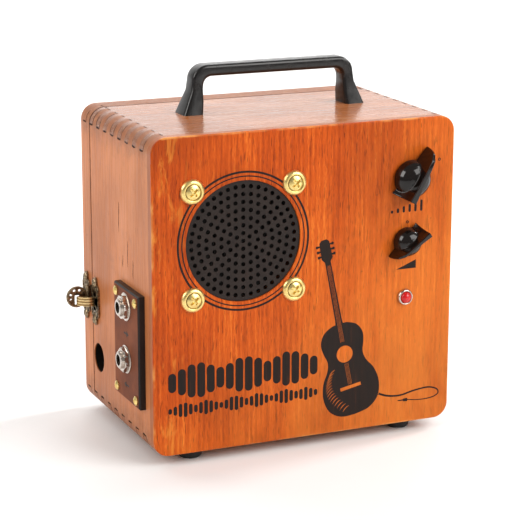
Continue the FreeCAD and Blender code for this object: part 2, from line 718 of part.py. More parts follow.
def make_grille():
    body = turned("speaker_grille", [("0", "0"), ("grille_r", "0"), ("grille_r", "-grille_thick"),
                                     ("0", "-grille_thick")])
    drill(body, "XY_Plane", [("0", "0")], "grille_hole_r")
    for ring in range(1, GRILLE_RINGS + 1):
        first = drill(body, "XY_Plane", [("0", f"{ring} * grille_ring")], "grille_hole_r")
        around(body, first, 6 * ring)
    keep(at(body, "speaker_x", "grille_seat_deep - grille_thick", "speaker_z", "front"))


def make_speaker():
    basket = new_body("speaker_basket")
    sheet_half = "speaker_flange / 2"
    flange = rectangle(new_sketch(basket, "XY_Plane"), f"-({sheet_half})", sheet_half,
                       f"-({sheet_half})", sheet_half)
    pad(basket, flange, "flange_thick", flip=True)
    revolve(basket, [
        ("basket_mouth_r + 0.5", "0"), ("basket_rim_r", "-flange_thick"), ("basket_back_r", "-basket_step"),
        ("basket_back_r", "-basket_deep"), ("basket_bore_r", "-basket_deep"),
        ("basket_bore_r", "flange_thick - basket_deep"),
        ("basket_back_r - 1.2", "flange_thick - basket_deep"),
        ("basket_back_r - 1.2", "-basket_step"), ("basket_rim_r - 1.6", "-flange_thick"),
    ])
    drill(basket, "XY_Plane", [("0", "0")], "basket_mouth_r", "flange_thick", "0", False)
    drill(basket, "XY_Plane", speaker_spots(), "speaker_hole_r")
    window = rectangle(new_sketch(basket, "XZ_Plane"), "20", "36", "-13.5", "-4")
    around(basket, pocket(basket, window, "26", middle=True), 4)
    keep(at(basket, *SPEAKER_AT))
    solids = {
        "speaker_gasket": [("gasket_in_r", "0"), ("gasket_out_r", "0"), ("gasket_out_r", "gasket_thick"),
                           ("gasket_in_r", "gasket_thick")],
        "speaker_surround": [
            ("cone_r", "0"), ("cone_r + 0.6", "0.8"), ("cone_r + 2.1", "1.4"), ("cone_r + 3.6", "0.8"),
            ("roll_r", "0"), ("surround_r", "0"), ("surround_r", "0.5"), ("roll_r + 0.2", "0.5"),
            ("cone_r + 3.8", "1.3"), ("cone_r + 2.1", "1.9"), ("cone_r + 0.4", "1.3"), ("cone_r", "0.6")],
        "speaker_spider": [
            ("coil_out_r + 0.1", "-spider_deep"), ("13", "-spider_deep - 0.4"), ("15", "-spider_deep"),
            ("17", "-spider_deep - 0.4"), ("19", "-spider_deep"), ("spider_r", "-spider_deep - 0.6"),
            ("spider_r", "-spider_deep"), ("19", "0.5 - spider_deep"), ("17", "0.1 - spider_deep"),
            ("15", "0.5 - spider_deep"), ("13", "0.1 - spider_deep"),
            ("coil_out_r + 0.1", "0.5 - spider_deep")],
        "speaker_cone": [
            ("coil_out_r + 0.03", "-neck_deep"), ("coil_out_r + 0.9", "-neck_deep"), ("cone_r", "-0.1"),
            ("cone_r", "cone_thick - 0.1"), ("coil_out_r + 0.03", "cone_thick - neck_deep")],
        "dust_cap": [
            ("0", "-7.4"), ("4", "-7.9"), ("8", "-9.6"), ("coil_out_r + 0.3", "1.05 - neck_deep"),
            ("coil_out_r - 0.5", "1.05 - neck_deep"), ("7.6", "-10.4"), ("4", "-8.7"), ("0", "-8.2")],
        "voice_coil": [
            ("coil_in_r", "-coil_low"), ("coil_out_r", "-coil_low"), ("coil_out_r", "0.8 - neck_deep"),
            ("coil_in_r", "0.8 - neck_deep")],
        "speaker_top_plate": [
            ("basket_bore_r", "-basket_deep"), ("plate_r", "-basket_deep"),
            ("plate_r", "-basket_deep - plate_thick"),
            ("basket_bore_r", "-basket_deep - plate_thick")],
        "speaker_magnet": [
            ("magnet_bore_r", "-basket_deep - plate_thick"), ("magnet_r", "-basket_deep - plate_thick"),
            ("magnet_r", "-basket_deep - plate_thick - magnet_thick"),
            ("magnet_bore_r", "-basket_deep - plate_thick - magnet_thick")],
        "speaker_pole": [
            ("0", "-basket_deep"), ("pole_r", "-basket_deep"),
            ("pole_r", "-basket_deep - plate_thick - magnet_thick"),
            ("plate_r", "-basket_deep - plate_thick - magnet_thick"),
            ("plate_r", "-basket_deep - 2 * plate_thick - magnet_thick"),
            ("0", "-basket_deep - 2 * plate_thick - magnet_thick")],
    }
    yoke = [turned(label, solids.pop(label)) for label in ("speaker_top_plate", "speaker_pole")]
    keep(at(group_of("speaker_yoke", yoke), *SPEAKER_AT))
    for label, outline in solids.items():
        keep(at(turned(label, outline), *SPEAKER_AT))
    strip = block("terminal_strip", ("-8", "-38.2", "-flange_thick - 9"), ("8", "-37", "-flange_thick"))
    keep(at(group_of("speaker_terminals", [strip]), *SPEAKER_AT))


def make_speaker_screws():
    cup = turned("cup_washer", [
        ("screw_r + 0.25", "0"), ("cup_r", "0"), ("cup_r - 0.25", "0.9"), ("cup_r - 1", "1.75"),
        ("cup_r - 2", "cup_tall"), ("screw_head_r + 0.25", "cup_tall"), ("screw_r + 0.25", "0.7"),
    ])
    places = [(x, "0", z, "front") for x, z in speaker_spots("speaker_x", "speaker_z")]
    copies("cup_washers", cup, places)
    head = turned("speaker_screw", [
        ("0", "3.3"), ("1.7", "3.15"), ("3.1", "2.75"), ("screw_head_r", "2.1"), ("screw_r", "0.6"),
        ("screw_r", "-screw_long"), ("0", "-screw_long"),
    ])
    cross_cut(head, "0.45", "2.3", "3.3", "1.5", 2)
    copies("speaker_screws", head, places)
    nut_front = "front_thick + gasket_thick + flange_thick"
    nut = cut("speaker_nut", hexagon("nut_body", "nut_r", "-nut_thick", "0"),
              rod("nut_bore", "screw_r + 0.1", "-nut_thick - 1", "1"))
    copies("speaker_nuts", nut, [(x, nut_front, z, "front") for x, y, z, facing in places])


# ---------------------------------------------------------------- controls and indicator

def make_controls():
    pot = turned("potentiometer", [
        ("shaft_bore_r", "bush_long"), ("bush_r", "bush_long"), ("bush_r", "0"), ("pot_r", "0"),
        ("pot_r", "-pot_deep"), ("0", "-pot_deep"), ("0", "-shaft_in - 0.3"),
        ("shaft_bore_r", "-shaft_in - 0.3"),
    ])
    lugs = new_sketch(pot, "XY_Plane", "-2")
    for k in (-1, 0, 1):
        rectangle(lugs, f"{k} * 4 - 1", f"{k} * 4 + 1", "-pot_r - 5", "2 - pot_r")
    pad(pot, lugs, "0.8", flip=True)
    spots = [("volume_x", "volume_z"), ("gain_x", "gain_z")]
    copies("potentiometers", pot, [(x, "front_thick", z, "front") for x, z in spots])
    nut = cut("control_nut", hexagon("control_nut_body", "pot_nut_r", "0", "pot_nut_thick"),
              rod("control_nut_bore", "bush_r + 0.1", "-1", "pot_nut_thick + 1"))
    copies("control_nuts", nut, [(x, "0", z, "front") for x, z in spots])
    for name in ("volume", "gain"):
        across, level, turn = f"{name}_x", f"{name}_z", value(f"{name}_turn")
        shaft = turned(f"{name}_shaft", [
            ("0", "-shaft_in"), ("shaft_r", "-shaft_in"), ("shaft_r", "shaft_out"), ("0", "shaft_out"),
        ])
        keep(at(shaft, across, "front_thick", level, "front"))
        keep(at(pointer_knob(name), across, "-knob_gap", level, "front", turn))


def pointer_knob(name):
    """A pointer knob: a round domed hub under a tall bar, with a flared tail and a beak at +X."""
    tall, skirt, tip, tail, flare = (f"{name}_{part}" for part in ("tall", "skirt", "tip", "tail", "flare"))
    label = f"{name}_knob"
    body = turned(label, [
        ("0", "0"), (skirt, "0"), (skirt, f"0.1 * {tall}"), (f"0.95 * {skirt}", f"0.3 * {tall}"),
        (f"0.8 * {skirt}", f"0.48 * {tall}"), (f"0.45 * {skirt}", f"0.6 * {tall}"), ("0", f"0.63 * {tall}"),
    ])
    # Where along the bar, its half width at the foot and its half width at the ridge.
    stations = (
        (f"-{tail}", 1, f"1 - {tail}", 0.25), (f"-0.5 * {tail}", 0.7, f"-0.5 * {tail}", 0.21),
        ("0", 0.6, "0", 0.19), (f"0.4 * {tip}", 0.44, f"0.4 * {tip}", 0.15),
        (f"0.7 * {tip}", 0.28, f"0.7 * {tip}", 0.12), (tip, 0.12, f"{tip} - 0.6", 0.08),
    )
    foot = mirrored_outline(new_sketch(body, "XY_Plane", "0.8"),
                            [(along, f"{half} * {flare}") for along, half, _, _ in stations])
    ridge = mirrored_outline(new_sketch(body, "XY_Plane", tall),
                             [(along, f"{half} * {flare}") for _, _, along, half in stations])
    loft = body.newObject("PartDesign::AdditiveLoft", label + "_bar")
    loft.Profile = foot
    loft.Sections = [ridge]
    loft.Ruled = True
    doc.recompute()
    beak = polygon(new_sketch(body, "XZ_Plane"), [
        (f"0.45 * {tip}", tall), (f"0.68 * {tip}", f"0.94 * {tall}"), (f"0.84 * {tip}", f"0.78 * {tall}"),
        (f"0.94 * {tip}", f"0.5 * {tall}"), (f"{tip} + 0.3", f"0.12 * {tall}"),
        (f"{tip} + 3", f"0.12 * {tall}"), (f"{tip} + 3", f"{tall} + 1"), (f"0.45 * {tip}", f"{tall} + 1"),
    ])
    pocket(body, beak)
    revolve(body, [("0", "-1"), ("knob_hollow_r", "-1"), ("knob_hollow_r", "knob_hollow_deep"),
                   ("shaft_bore_r", "knob_hollow_deep"), ("shaft_bore_r", "knob_bore_deep"),
                   ("0", "knob_bore_deep")], "Groove")
    return body


def mirrored_outline(sketch, points):
    """An outline that is the same on both sides of the sketch's X axis."""
    return polygon(sketch, points + [(u, f"-({v})") for u, v in reversed(points)])


def make_indicator():
    bezel = turned("lamp_bezel", [
        ("bezel_bore_r", "-8"), ("bezel_barrel_r", "-8"), ("bezel_barrel_r", "0"), ("bezel_r", "0"),
        ("bezel_r", "0.9"), ("bezel_r - 0.6", "1.9"), ("bezel_bore_r + 0.3", "2.1"), ("bezel_bore_r", "1.7"),
    ])
    keep(at(bezel, "lamp_x", "0", "lamp_z", "front"))
    lens = turned("lamp_lens", [
        ("0", "-7"), ("lamp_r", "-7"), ("lamp_r", "1.9"), ("lamp_r - 0.35", "2.9"), ("lamp_r - 1.1", "3.7"),
        ("0", "4.1"),
    ])
    keep(at(lens, "lamp_x", "0", "lamp_z", "front"))


# ---------------------------------------------------------------- jacks and supply socket

def make_jacks():
    left = f"-({HALF})"
    plate = new_body("jack_plate")
    face = rectangle(new_sketch(plate, "YZ_Plane", left), "plate_y - plate_wide / 2",
                     "plate_y + plate_wide / 2", "plate_z - plate_tall / 2", "plate_z + plate_tall / 2")
    pad(plate, face, "plate_deep", flip=True)
    outer = value(f"{left} - plate_deep")
    dress(plate, "Chamfer", "plate_chamfer", lambda edge: abs(edge.BoundBox.XMax - outer) < 1e-3)
    drill(plate, "YZ_Plane", [("jack_y", "output_z"), ("jack_y", "input_z")], "jack_hole_r")
    drill(plate, "YZ_Plane", plate_screw_spots("plate_y", "plate_z"), "small_hole_r")
    keep(at(plate))
    plate_face = f"{left} - plate_deep"
    plate_screw = screw("jack_plate_screw", "2.7", "1.6", "small_screw_r", "11.5")
    copies("jack_plate_screws", plate_screw,
           [(plate_face, y, z, "left") for y, z in plate_screw_spots("plate_y", "plate_z")])
    places = {"output_jack": (plate_face, "jack_y", "output_z", "left"),
              "input_jack": (plate_face, "jack_y", "input_z", "left")}
    for label, place in places.items():
        keep(at(group_of(label, [jack(f"{label}_socket")] + jack_tags()), *place))
    nut = cut("jack_nut", hexagon("jack_nut_body", "jack_nut_r", "jack_washer_thick",
                                  "jack_washer_thick + jack_nut_thick"),
              rod("jack_nut_bore", "jack_hole_r", "0", "jack_nut_thick + 2"))
    copies("jack_nuts", nut, places.values())
    washer = turned("jack_washer", [
        ("jack_hole_r", "0"), ("jack_washer_r", "0"), ("jack_washer_r", "jack_washer_thick"),
        ("jack_hole_r", "jack_washer_thick")])
    copies("jack_washers", washer, places.values())


def jack_tags():
    """Three solder tags at the housing's back."""
    return [block("jack_tag", (f"{k} * 5 - 1", "-1.5", "-jack_deep - 4.5"),
                  (f"{k} * 5 + 1", "-0.9", "-jack_deep")) for k in (-1, 0, 1)]


def jack(label):
    """A quarter inch jack socket: a threaded bush before a closed housing."""
    body = turned(label, [
        ("jack_bore_r", "jack_out"), ("jack_bush_r - 0.4", "jack_out"), ("jack_bush_r", "jack_out - 0.4"),
        ("jack_bush_r", "-plate_deep"), ("6.5", "-plate_deep"), ("6.5", "-plate_deep - 1.5"),
        ("jack_bore_r", "-plate_deep - 1.5"),
    ])
    half = "jack_wide / 2"
    housing = rectangle(new_sketch(body, "XY_Plane", "-plate_deep - 1.5"), f"-({half})", half, "-9", "9")
    pad(body, housing, "jack_deep - plate_deep - 1.5", flip=True)
    bore = circle(new_sketch(body, "XY_Plane", "jack_out"), "0", "0", "jack_bore_r")
    pocket(body, bore, "jack_out + jack_bore_deep")
    return body


def make_supply_socket():
    socket = turned("supply_socket", [
        ("0", "4.4"), ("socket_pin_r", "4.4"), ("socket_pin_r", "-8"), ("socket_bore_r", "-8"),
        ("socket_bore_r", "5.5"), ("socket_nose_r", "5.5"), ("socket_nose_r", "0"), ("7", "0"), ("7", "-11"),
        ("0", "-11"),
    ])
    bracket_back = f"-({INNER}) + 1.5"
    keep(at(socket, bracket_back, "access_y", "access_z", "left"))
    bracket = new_body("supply_bracket")
    face = rectangle(new_sketch(bracket, "YZ_Plane", f"-({INNER})"), "72", "98.5",
                     "access_z - 10", "access_z + 10")
    pad(bracket, face, "1.5")
    drill(bracket, "YZ_Plane", [("access_y", "access_z")], "socket_nose_r + 0.1")
    drill(bracket, "YZ_Plane", bracket_screw_spots(), "small_hole_r")
    keep(at(bracket))


# ---------------------------------------------------------------- circuit

CIRCUIT_TOP = "board + standoff_tall + circuit_thick"


def make_circuit():
    card = new_body("circuit_board")
    half_wide, half_deep = "circuit_wide / 2", "circuit_deep / 2"
    face = rectangle(new_sketch(card, "XY_Plane", "board + standoff_tall"), f"circuit_x - {half_wide}",
                     f"circuit_x + {half_wide}", f"circuit_y - {half_deep}", f"circuit_y + {half_deep}")
    pad(card, face, "circuit_thick")
    drill(card, "XY_Plane", standoff_spots(), "small_hole_r + 0.1")
    keep(at(card))
    standoff = turned("standoff", [
        ("small_hole_r", "standoff_tall"), ("standoff_r", "standoff_tall"), ("standoff_r", "0"),
        ("small_screw_r", "0"), ("small_screw_r", "-5.5"), ("0", "-5.5"), ("0", "2"), ("small_hole_r", "2")])
    copies("board_standoffs", standoff, [(x, y, "board", "up") for x, y in standoff_spots()])
    socket = turned("tube_socket", [
        ("2", "0"), ("tube_socket_r", "0"), ("tube_socket_r", "tube_socket_tall - 1"),
        ("tube_socket_r - 1", "tube_socket_tall"), ("2", "tube_socket_tall")])
    keep(at(socket, "tube_x", "tube_y", CIRCUIT_TOP))
    tube_foot = f"{CIRCUIT_TOP} + tube_socket_tall"
    glass = turned("tube_glass", [
        ("tube_r", "0"), ("tube_r", "tube_tall - 8"), ("tube_r - 0.9", "tube_tall - 5"),
        ("tube_r - 4", "tube_tall - 2.6"), ("2", "tube_tall - 2"), ("1.1", "tube_tall"),
        ("0", "tube_tall + 0.6"),
        ("0", "tube_tall - 3"), ("tube_r - 4.4", "tube_tall - 3.4"), ("tube_r - 1.7", "tube_tall - 5.4"),
        ("tube_r - 0.8", "tube_tall - 8"), ("tube_r - 0.8", "0")])
    keep(at(glass, "tube_x", "tube_y", tube_foot))
    posts = [rod("tube_post", "0.45", "1", "28", f"{x}", f"{y}") for x in (-6.5, 6.5) for y in (-1.5, 1.5)]
    micas = [rod("tube_mica", "8.6", low, f"{low} + 0.5") for low in ("6", "27.5")]
    anodes = [block("tube_anode", (f"{x} - 2.6", "-3.4", "6.2"), (f"{x} + 2.6", "3.4", "27.8"))
              for x in (-4, 4)]
    button = rod("tube_button", "tube_r - 0.9", "0", "1.6")
    keep(at(fuse("tube_electrodes", posts + micas + anodes + [button]), "tube_x", "tube_y", tube_foot))
    sink = new_body("heatsink")
    plate = rectangle(new_sketch(sink, "XY_Plane"), "-sink_wide / 2", "sink_wide / 2", "0", "3")
    pad(sink, plate, "sink_tall")
    fin = pad(sink, rectangle(new_sketch(sink, "XY_Plane"), "-sink_wide / 2", "1.6 - sink_wide / 2", "3",
                              "sink_deep"), "sink_tall")
    row = sink.newObject("PartDesign::LinearPattern", "heatsink_fins")
    row.Originals = [fin]
    row.Direction = (origin_feature(sink, "X_Axis"), [""])
    row.setExpression("Length", cell("sink_wide - 1.6"))
    row.Occurrences = 6
    sink.Tip = row
    doc.recompute()
    keep(at(sink, "sink_x", "sink_y - 4", CIRCUIT_TOP))
    chip = block("chip_block", ("-5", "-4.6", "3"), ("5", "0", "18.5"))
    keep(at(group_of("output_chip", [chip]), "sink_x", "sink_y - 4", CIRCUIT_TOP))
    can = turned("capacitor", [
        ("0", "0"), ("4.6", "0"), ("5", "0.5"), ("5", "1.6"), ("4.7", "2.2"), ("5", "2.8"), ("5", "13.6"),
        ("4.5", "14.2"), ("0", "14.2"),
    ])
    spots = [("-8", "78"), ("4", "78"), ("40", "78"), ("-26", "44")]
    copies("capacitors", can, [(x, y, CIRCUIT_TOP, "up") for x, y in spots])
    resistor = turned("resistor", [
        ("0", "-3.4"), ("1", "-3.4"), ("1.3", "-2.9"), ("1.3", "-2"), ("1.05", "-1.6"), ("1.05", "1.6"),
        ("1.3", "2"), ("1.3", "2.9"), ("1", "3.4"), ("0", "3.4"),
    ])
    copies("resistors", resistor,
           [(f"{x}", f"{y}", f"{CIRCUIT_TOP} + 1.35", "right") for x in (-14, -4, 6) for y in (42, 48, 54)])


LEADS = {
    "speaker": [(-48, 44, 20.7), (-48, 44, 36), (-46, 31, 54), (-39.5, 16.5, 66), (-37.8, 13.2, 78.9)],
    "volume": [(44, 44, 20.7), (44, 44, 40), (45, 33, 68), (48, 19.5, 98), (62.3, 10.4, 130.2)],
    "gain": [(47, 52, 20.7), (47, 52, 36), (51, 42, 54), (56, 22, 76), (61, 10.4, 94.2)],
    "lamp": [(38, 38, 20.7), (38, 38, 34), (46, 35, 50), (57, 27, 66), (61.5, 9.6, 75.4)],
    "output": [(-54, 50, 20.7), (-54, 50, 40), (-53.5, 42, 60), (-61.8, 31.5, 78.4)],
    "input": [(-52, 64, 20.7), (-52, 64, 32), (-54, 50, 42), (-62, 33.2, 48.4)],
    "supply": [(-69.2, 90.2, 32), (-61, 90, 31.4), (-56, 82, 29), (-54.5, 72, 21.75)],
}


def lead(points, radius):
    """A round lead along straight runs joined by tangent arcs, as one solid."""
    corners = [FreeCAD.Vector(*point) for point in points]
    edges = []
    here = corners[0]
    for before, corner, after in zip(corners, corners[1:], corners[2:]):
        arrive, leave = corner - before, after - corner
        turn = arrive.getAngle(leave)
        trim = 0.45 * min(arrive.Length, leave.Length)
        arc_radius = trim / math.tan(turn / 2)
        print(f"    bend radius {arc_radius:.1f} mm")
        arrive.normalize()
        leave.normalize()
        start, end = corner - arrive * trim, corner + leave * trim
        inward = (leave - arrive).normalize()
        middle = corner + inward * (arc_radius / math.cos(turn / 2) - arc_radius)
        edges += [Part.LineSegment(here, start).toShape(), Part.Arc(start, middle, end).toShape()]
        here = end
    edges.append(Part.LineSegment(here, corners[-1]).toShape())
    path = Part.Wire(edges)
    ring = Part.Wire([Part.makeCircle(radius, corners[0], corners[1] - corners[0])])
    tube = path.makePipeShell([ring], True, False)
    expected = math.pi * radius ** 2 * path.Length
    if abs(tube.Volume / expected - 1) > 0.01:
        raise RuntimeError(f"a lead's volume is {tube.Volume:.0f}, not {expected:.0f}")
    return tube


def make_leads():
    loom = doc.addObject("Part::Feature", "wiring_loom")
    loom.Label = "wiring_loom"
    loom.Shape = Part.makeCompound([lead(points, value("lead_r")) for points in LEADS.values()])
    keep(at(loom))


# ---------------------------------------------------------------- hinges and latch

HINGE_PLACES = [(HALF, "seam_y", z) for z in ("hinge_low_z", "hinge_high_z")]
LATCH_LID_Y = "hasp_pin_y + 1.7 + latch_wide / 2"
HASP_X = "-(box_wide / 2) - hasp_pin_out"


def hinge_leaf(label, side, spans):
    """One leaf with its knuckles; z = 0 is the hinge's middle and x = 0 the cabinet's side."""
    inner, outer = sorted((f"{side} * 2.3", f"{side} * hinge_leaf"), key=value)
    plate = block(f"{label}_plate", ("0", inner, "-hinge_tall / 2"), ("1", outer, "hinge_tall / 2"))
    pieces = [plate]
    for low, high in spans:
        tab_low, tab_high = sorted((f"{side} * 2.4", f"{side} * 0.1"), key=value)
        pieces.append(block(f"{label}_tab", ("0", tab_low, low), ("1", tab_high, high)))
        pieces.append(rod(f"{label}_knuckle", "hinge_knuckle_r", low, high, "hinge_out"))
    tools = [rod(f"{label}_bore", "hinge_bore_r", "-hinge_tall", "hinge_tall", "hinge_out")]
    for k in (-1, 1):
        hole = primitive("Cylinder", f"{label}_hole", Radius="small_hole_r + 0.1", Height="4")
        tools.append(moved(hole, "-1", f"{side} * 6.6", f"{k} * 7.5", FACING["right"]))
    return cut(label, fuse(f"{label}_solid", pieces), fuse(f"{label}_tools", tools))


def make_hinges():
    body_leaf = hinge_leaf("hinge_body_leaf", -1, [("-hinge_tall / 2", "-4.1"), ("4.1", "hinge_tall / 2")])
    lid_leaf = hinge_leaf("hinge_lid_leaf", 1, [("-3.9", "3.9")])
    copies("hinge_body_leaves", body_leaf, HINGE_PLACES)
    copies("hinge_lid_leaves", lid_leaf, HINGE_PLACES)
    pin = turned("hinge_pin", [("0", "-hinge_tall / 2"), ("hinge_pin_r", "-hinge_tall / 2"),
                               ("hinge_pin_r", "hinge_tall / 2"), ("1.6", "hinge_tall / 2"),
                               ("1.3", "hinge_tall / 2 + 0.8"), ("0", "hinge_tall / 2 + 1")])
    return [at(linked("hinge_pin_copy", pin), f"{x} + hinge_out", y, z) for x, y, z in HINGE_PLACES]


def latch_plate(label, y):
    """An ornamental pierced plate on the cabinet's left side, centred at y."""
    body = new_body(label)
    tip = "latch_tall / 2"
    wide = "latch_wide / 2"
    upper = [("0", tip), ("1.6", f"{tip} - 0.7"), ("2.6", f"{tip} - 2.4"), ("2.3", f"{tip} - 4.4"),
             ("4.6", f"{tip} - 4.9"), (wide, f"{tip} - 7")]
    right_side = upper + [(u, f"-({v})") for u, v in reversed(upper)]
    left_side = [(f"-({u})", v) for u, v in reversed(right_side) if u != "0"]
    outline = polygon(new_sketch(body, "YZ_Plane", f"-({HALF})"),
                      [(f"{y} + {u}", f"latch_z + {v}") for u, v in right_side + left_side])
    pad(body, outline, "latch_thick", flip=True)
    drill(body, "YZ_Plane", latch_screw_spots(y), "small_hole_r")
    pierced = [(f"{y} + {i} * 3.4", f"latch_z + {k} * 5.6") for i in (-1, 1) for k in (-1, 1)]
    drill(body, "YZ_Plane", pierced, "0.95")
    drill(body, "YZ_Plane", [(y, f"latch_z + {k} * 7.4") for k in (-1, 1)], "0.8")
    return body


def make_latch():
    plate = latch_plate("keeper_plate", "keeper_back - latch_wide / 2")
    low, high = "tongue_z - tongue_tall / 2", "tongue_z + tongue_tall / 2"
    arc = primitive("Cylinder", "tongue_outer", Radius="tongue_out", Height="tongue_tall")
    arc.Angle = 75
    moved(arc, HASP_X, "hasp_pin_y", low, FreeCAD.Rotation(Z_AXIS, 195))
    inside = rod("tongue_inner", "tongue_in", f"{low} - 1", f"{high} + 1", HASP_X, "hasp_pin_y")
    root = block("tongue_root", (HASP_X, "hasp_pin_y - tongue_out", low), (f"-({HALF}) - 0.5",
                 "hasp_pin_y - tongue_in", high))
    keeper = fuse("latch_keeper", [plate, cut("tongue", arc, inside), root])
    keep(at(keeper))
    lid_plate = latch_plate("lid_latch_plate", LATCH_LID_Y)
    spans = [("hasp_z - 6", "hasp_z - 3"), ("hasp_z + 3", "hasp_z + 6")]
    pieces = [lid_plate]
    for start, end in spans:
        pieces.append(rod("latch_knuckle", "hasp_knuckle_r", start, end, HASP_X, "hasp_pin_y"))
        pieces.append(block("latch_arm", (f"{HASP_X} + 0.7", "hasp_pin_y", start),
                            (f"-({HALF})", "hasp_pin_y + 2.6", end)))
    bore = rod("latch_bore", "hasp_bore_r", "hasp_z - 8", "hasp_z + 8", HASP_X, "hasp_pin_y")
    keep(at(cut("latch_lid_plate", fuse("latch_lid_solid", pieces), bore)))
    pin = turned("hasp_pin", [
        ("0", "-6"), ("hasp_pin_r", "-6"), ("hasp_pin_r", "6"), ("1", "6"), ("0.8", "6.5"), ("0", "6.6"),
    ])
    return at(linked("hasp_pin_copy", pin), HASP_X, "hasp_pin_y", "hasp_z")


def make_hasp():
    """The round openwork leaf, standing straight out from the side on its pin."""
    body = new_body("latch_hasp")
    middle = "-hasp_pin_y"
    centre = f"{HASP_X} - hasp_reach"
    disc = circle(new_sketch(body, "XZ_Plane", middle), centre, "hasp_z", "hasp_disc_r")
    pad(body, disc, "hasp_thick", middle=True)
    arm = rectangle(new_sketch(body, "XZ_Plane", middle), f"{HASP_X} - 2.5", HASP_X,
                    "hasp_z - 2.4", "hasp_z + 2.4")
    pad(body, arm, "hasp_thick", middle=True)
    knuckle = circle(new_sketch(body, "XY_Plane", "hasp_z - 2.8"), HASP_X, "hasp_pin_y", "hasp_knuckle_r")
    pad(body, knuckle, "5.6")
    slot = rectangle(new_sketch(body, "XZ_Plane"), f"{HASP_X} - tongue_out - 0.3",
                     f"{HASP_X} - tongue_in + 0.3", "tongue_z - tongue_tall / 2 - 0.3",
                     "tongue_z + tongue_tall / 2 + 0.3")
    pocket(body, slot)
    petals = [(f"{centre} + {x}", f"hasp_z + {z}") for x, z in
              ((-3.6, 1.6), (-3.6, -1.6), (3.4, 1.9), (3.4, -1.9), (-1.6, 3.9), (1.6, 3.9))]
    drill(body, "XZ_Plane", petals, "0.85")
    bore = circle(new_sketch(body, "XY_Plane"), HASP_X, "hasp_pin_y", "hasp_bore_r")
    pocket(body, bore)
    keep(at(body))


def write_parts():
    doc.recompute()
    for thing in doc.Objects:
        if {"Invalid", "Error"} & set(thing.State):
            raise RuntimeError(f"{thing.Label} is {thing.State}")
    os.makedirs("parts", exist_ok=True)
    whole = None
    for piece in subparts:
        shape = piece.Shape
        if shape.isNull() or not shape.isValid() or not shape.Solids:
            raise RuntimeError(f"{piece.Label} has no valid shape")
        shape.exportStep(f"parts/{piece.Label}.step")
        whole = shape.BoundBox if whole is None else whole.united(shape.BoundBox)
        print(f"{piece.Label}: {len(shape.Solids)} solids, {shape.Volume / 1000:.2f} cm3")
    middle = whole.Center
    print(f"{len(subparts)} nodes; middle x {middle.x:.2f}, y {middle.y:.2f}, lowest z {whole.ZMin:.2f}")
    print(f"size {whole.XLength:.1f} x {whole.YLength:.1f} x {whole.ZLength:.1f} mm")


make_front_panel()
make_boards()
make_lid()
make_small_screws()
make_handle()
make_feet()
make_grille()
make_speaker()
make_speaker_screws()
make_controls()
make_indicator()
make_jacks()
make_supply_socket()
make_circuit()
make_leads()
keep(group_of("lid_pins", make_hinges() + [make_latch()]))
make_hasp()
write_parts()
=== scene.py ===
import math
import random

import bmesh
import bpy
from mathutils import Matrix, Vector
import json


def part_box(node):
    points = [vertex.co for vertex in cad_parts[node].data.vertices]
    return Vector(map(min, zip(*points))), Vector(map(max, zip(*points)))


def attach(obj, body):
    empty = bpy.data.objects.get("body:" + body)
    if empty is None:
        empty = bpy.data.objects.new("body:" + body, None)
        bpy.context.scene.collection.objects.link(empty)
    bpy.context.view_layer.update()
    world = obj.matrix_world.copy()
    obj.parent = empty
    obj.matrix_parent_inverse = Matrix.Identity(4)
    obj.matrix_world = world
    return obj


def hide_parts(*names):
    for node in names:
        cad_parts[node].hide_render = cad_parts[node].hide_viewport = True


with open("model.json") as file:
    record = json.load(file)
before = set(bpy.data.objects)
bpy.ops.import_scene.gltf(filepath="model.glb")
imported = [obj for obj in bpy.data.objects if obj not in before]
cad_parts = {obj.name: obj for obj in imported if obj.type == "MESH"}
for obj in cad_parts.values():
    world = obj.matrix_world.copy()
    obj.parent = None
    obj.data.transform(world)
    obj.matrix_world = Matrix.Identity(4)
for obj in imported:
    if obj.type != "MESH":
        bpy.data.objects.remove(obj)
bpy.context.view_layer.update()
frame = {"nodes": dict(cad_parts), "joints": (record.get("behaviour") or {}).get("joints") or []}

# A practice amplifier in a finger-jointed wooden box. Millimetres are used in the helpers, metres in Blender.
MM = 0.001
PANEL_LOW, PANEL_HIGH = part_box("front_panel")
MIDDLE_X = (PANEL_LOW.x + PANEL_HIGH.x) / 2
FRONT_Y = PANEL_LOW.y
BASE_Z = PANEL_LOW.z
HALF_WIDE = (PANEL_HIGH.x - PANEL_LOW.x) / 2 / MM
TALL = (PANEL_HIGH.z - PANEL_LOW.z) / MM
BOARD = (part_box("top_board")[1].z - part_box("top_board")[0].z) / MM
JOINTS = {joint["name"]: joint for joint in frame["joints"]}
# Print and thin faces are plates this thick, whose backs are sunk this deep in the surface, both in mm.
PRINT_THICK, PRINT_SINK = 0.05, 0.02
# The camera looks at the part from its front left, a little from above. Metres and degrees.
CAMERA_PLACE = (-0.44105, -1.0082, 0.3832)
HEADING, DOWNWARD, ROLL = -23.603, 14.545, 0.142
WHITE = (1, 1, 1)
# For each area light its place, its aim, its width and height, its power in watts and its colour.
LIGHTS = (
    ("key_right", (0.85, -1.1, 1.0), (0, -0.03, 0.1), (1.2, 1.2), 23, (1, 0.985, 0.96)),
    ("window_left", (-1.2, -0.15, 0.9), (0, 0, 0.1), (0.5, 0.8), 8.5, (1, 0.97, 0.94)),
    ("window_right", (1.3, 0.2, 0.9), (0, 0, 0.15), (0.25, 0.55), 12, WHITE),
    ("top_back", (-0.2, 0.85, 1.1), (0, 0, 0.15), (1.2, 0.5), 4, WHITE),
    ("backdrop_light", (0, 1.1, 1.9), (0, 2.4, 0.7), (2.6, 0.5), 42, WHITE),
)
rng = random.Random(11)


def spot(x, y, z):
    """A place in mm from the cabinet's middle, front face and underside, as a point of the row frame."""
    return Vector((MIDDLE_X + x * MM, FRONT_Y + y * MM, BASE_Z + z * MM))


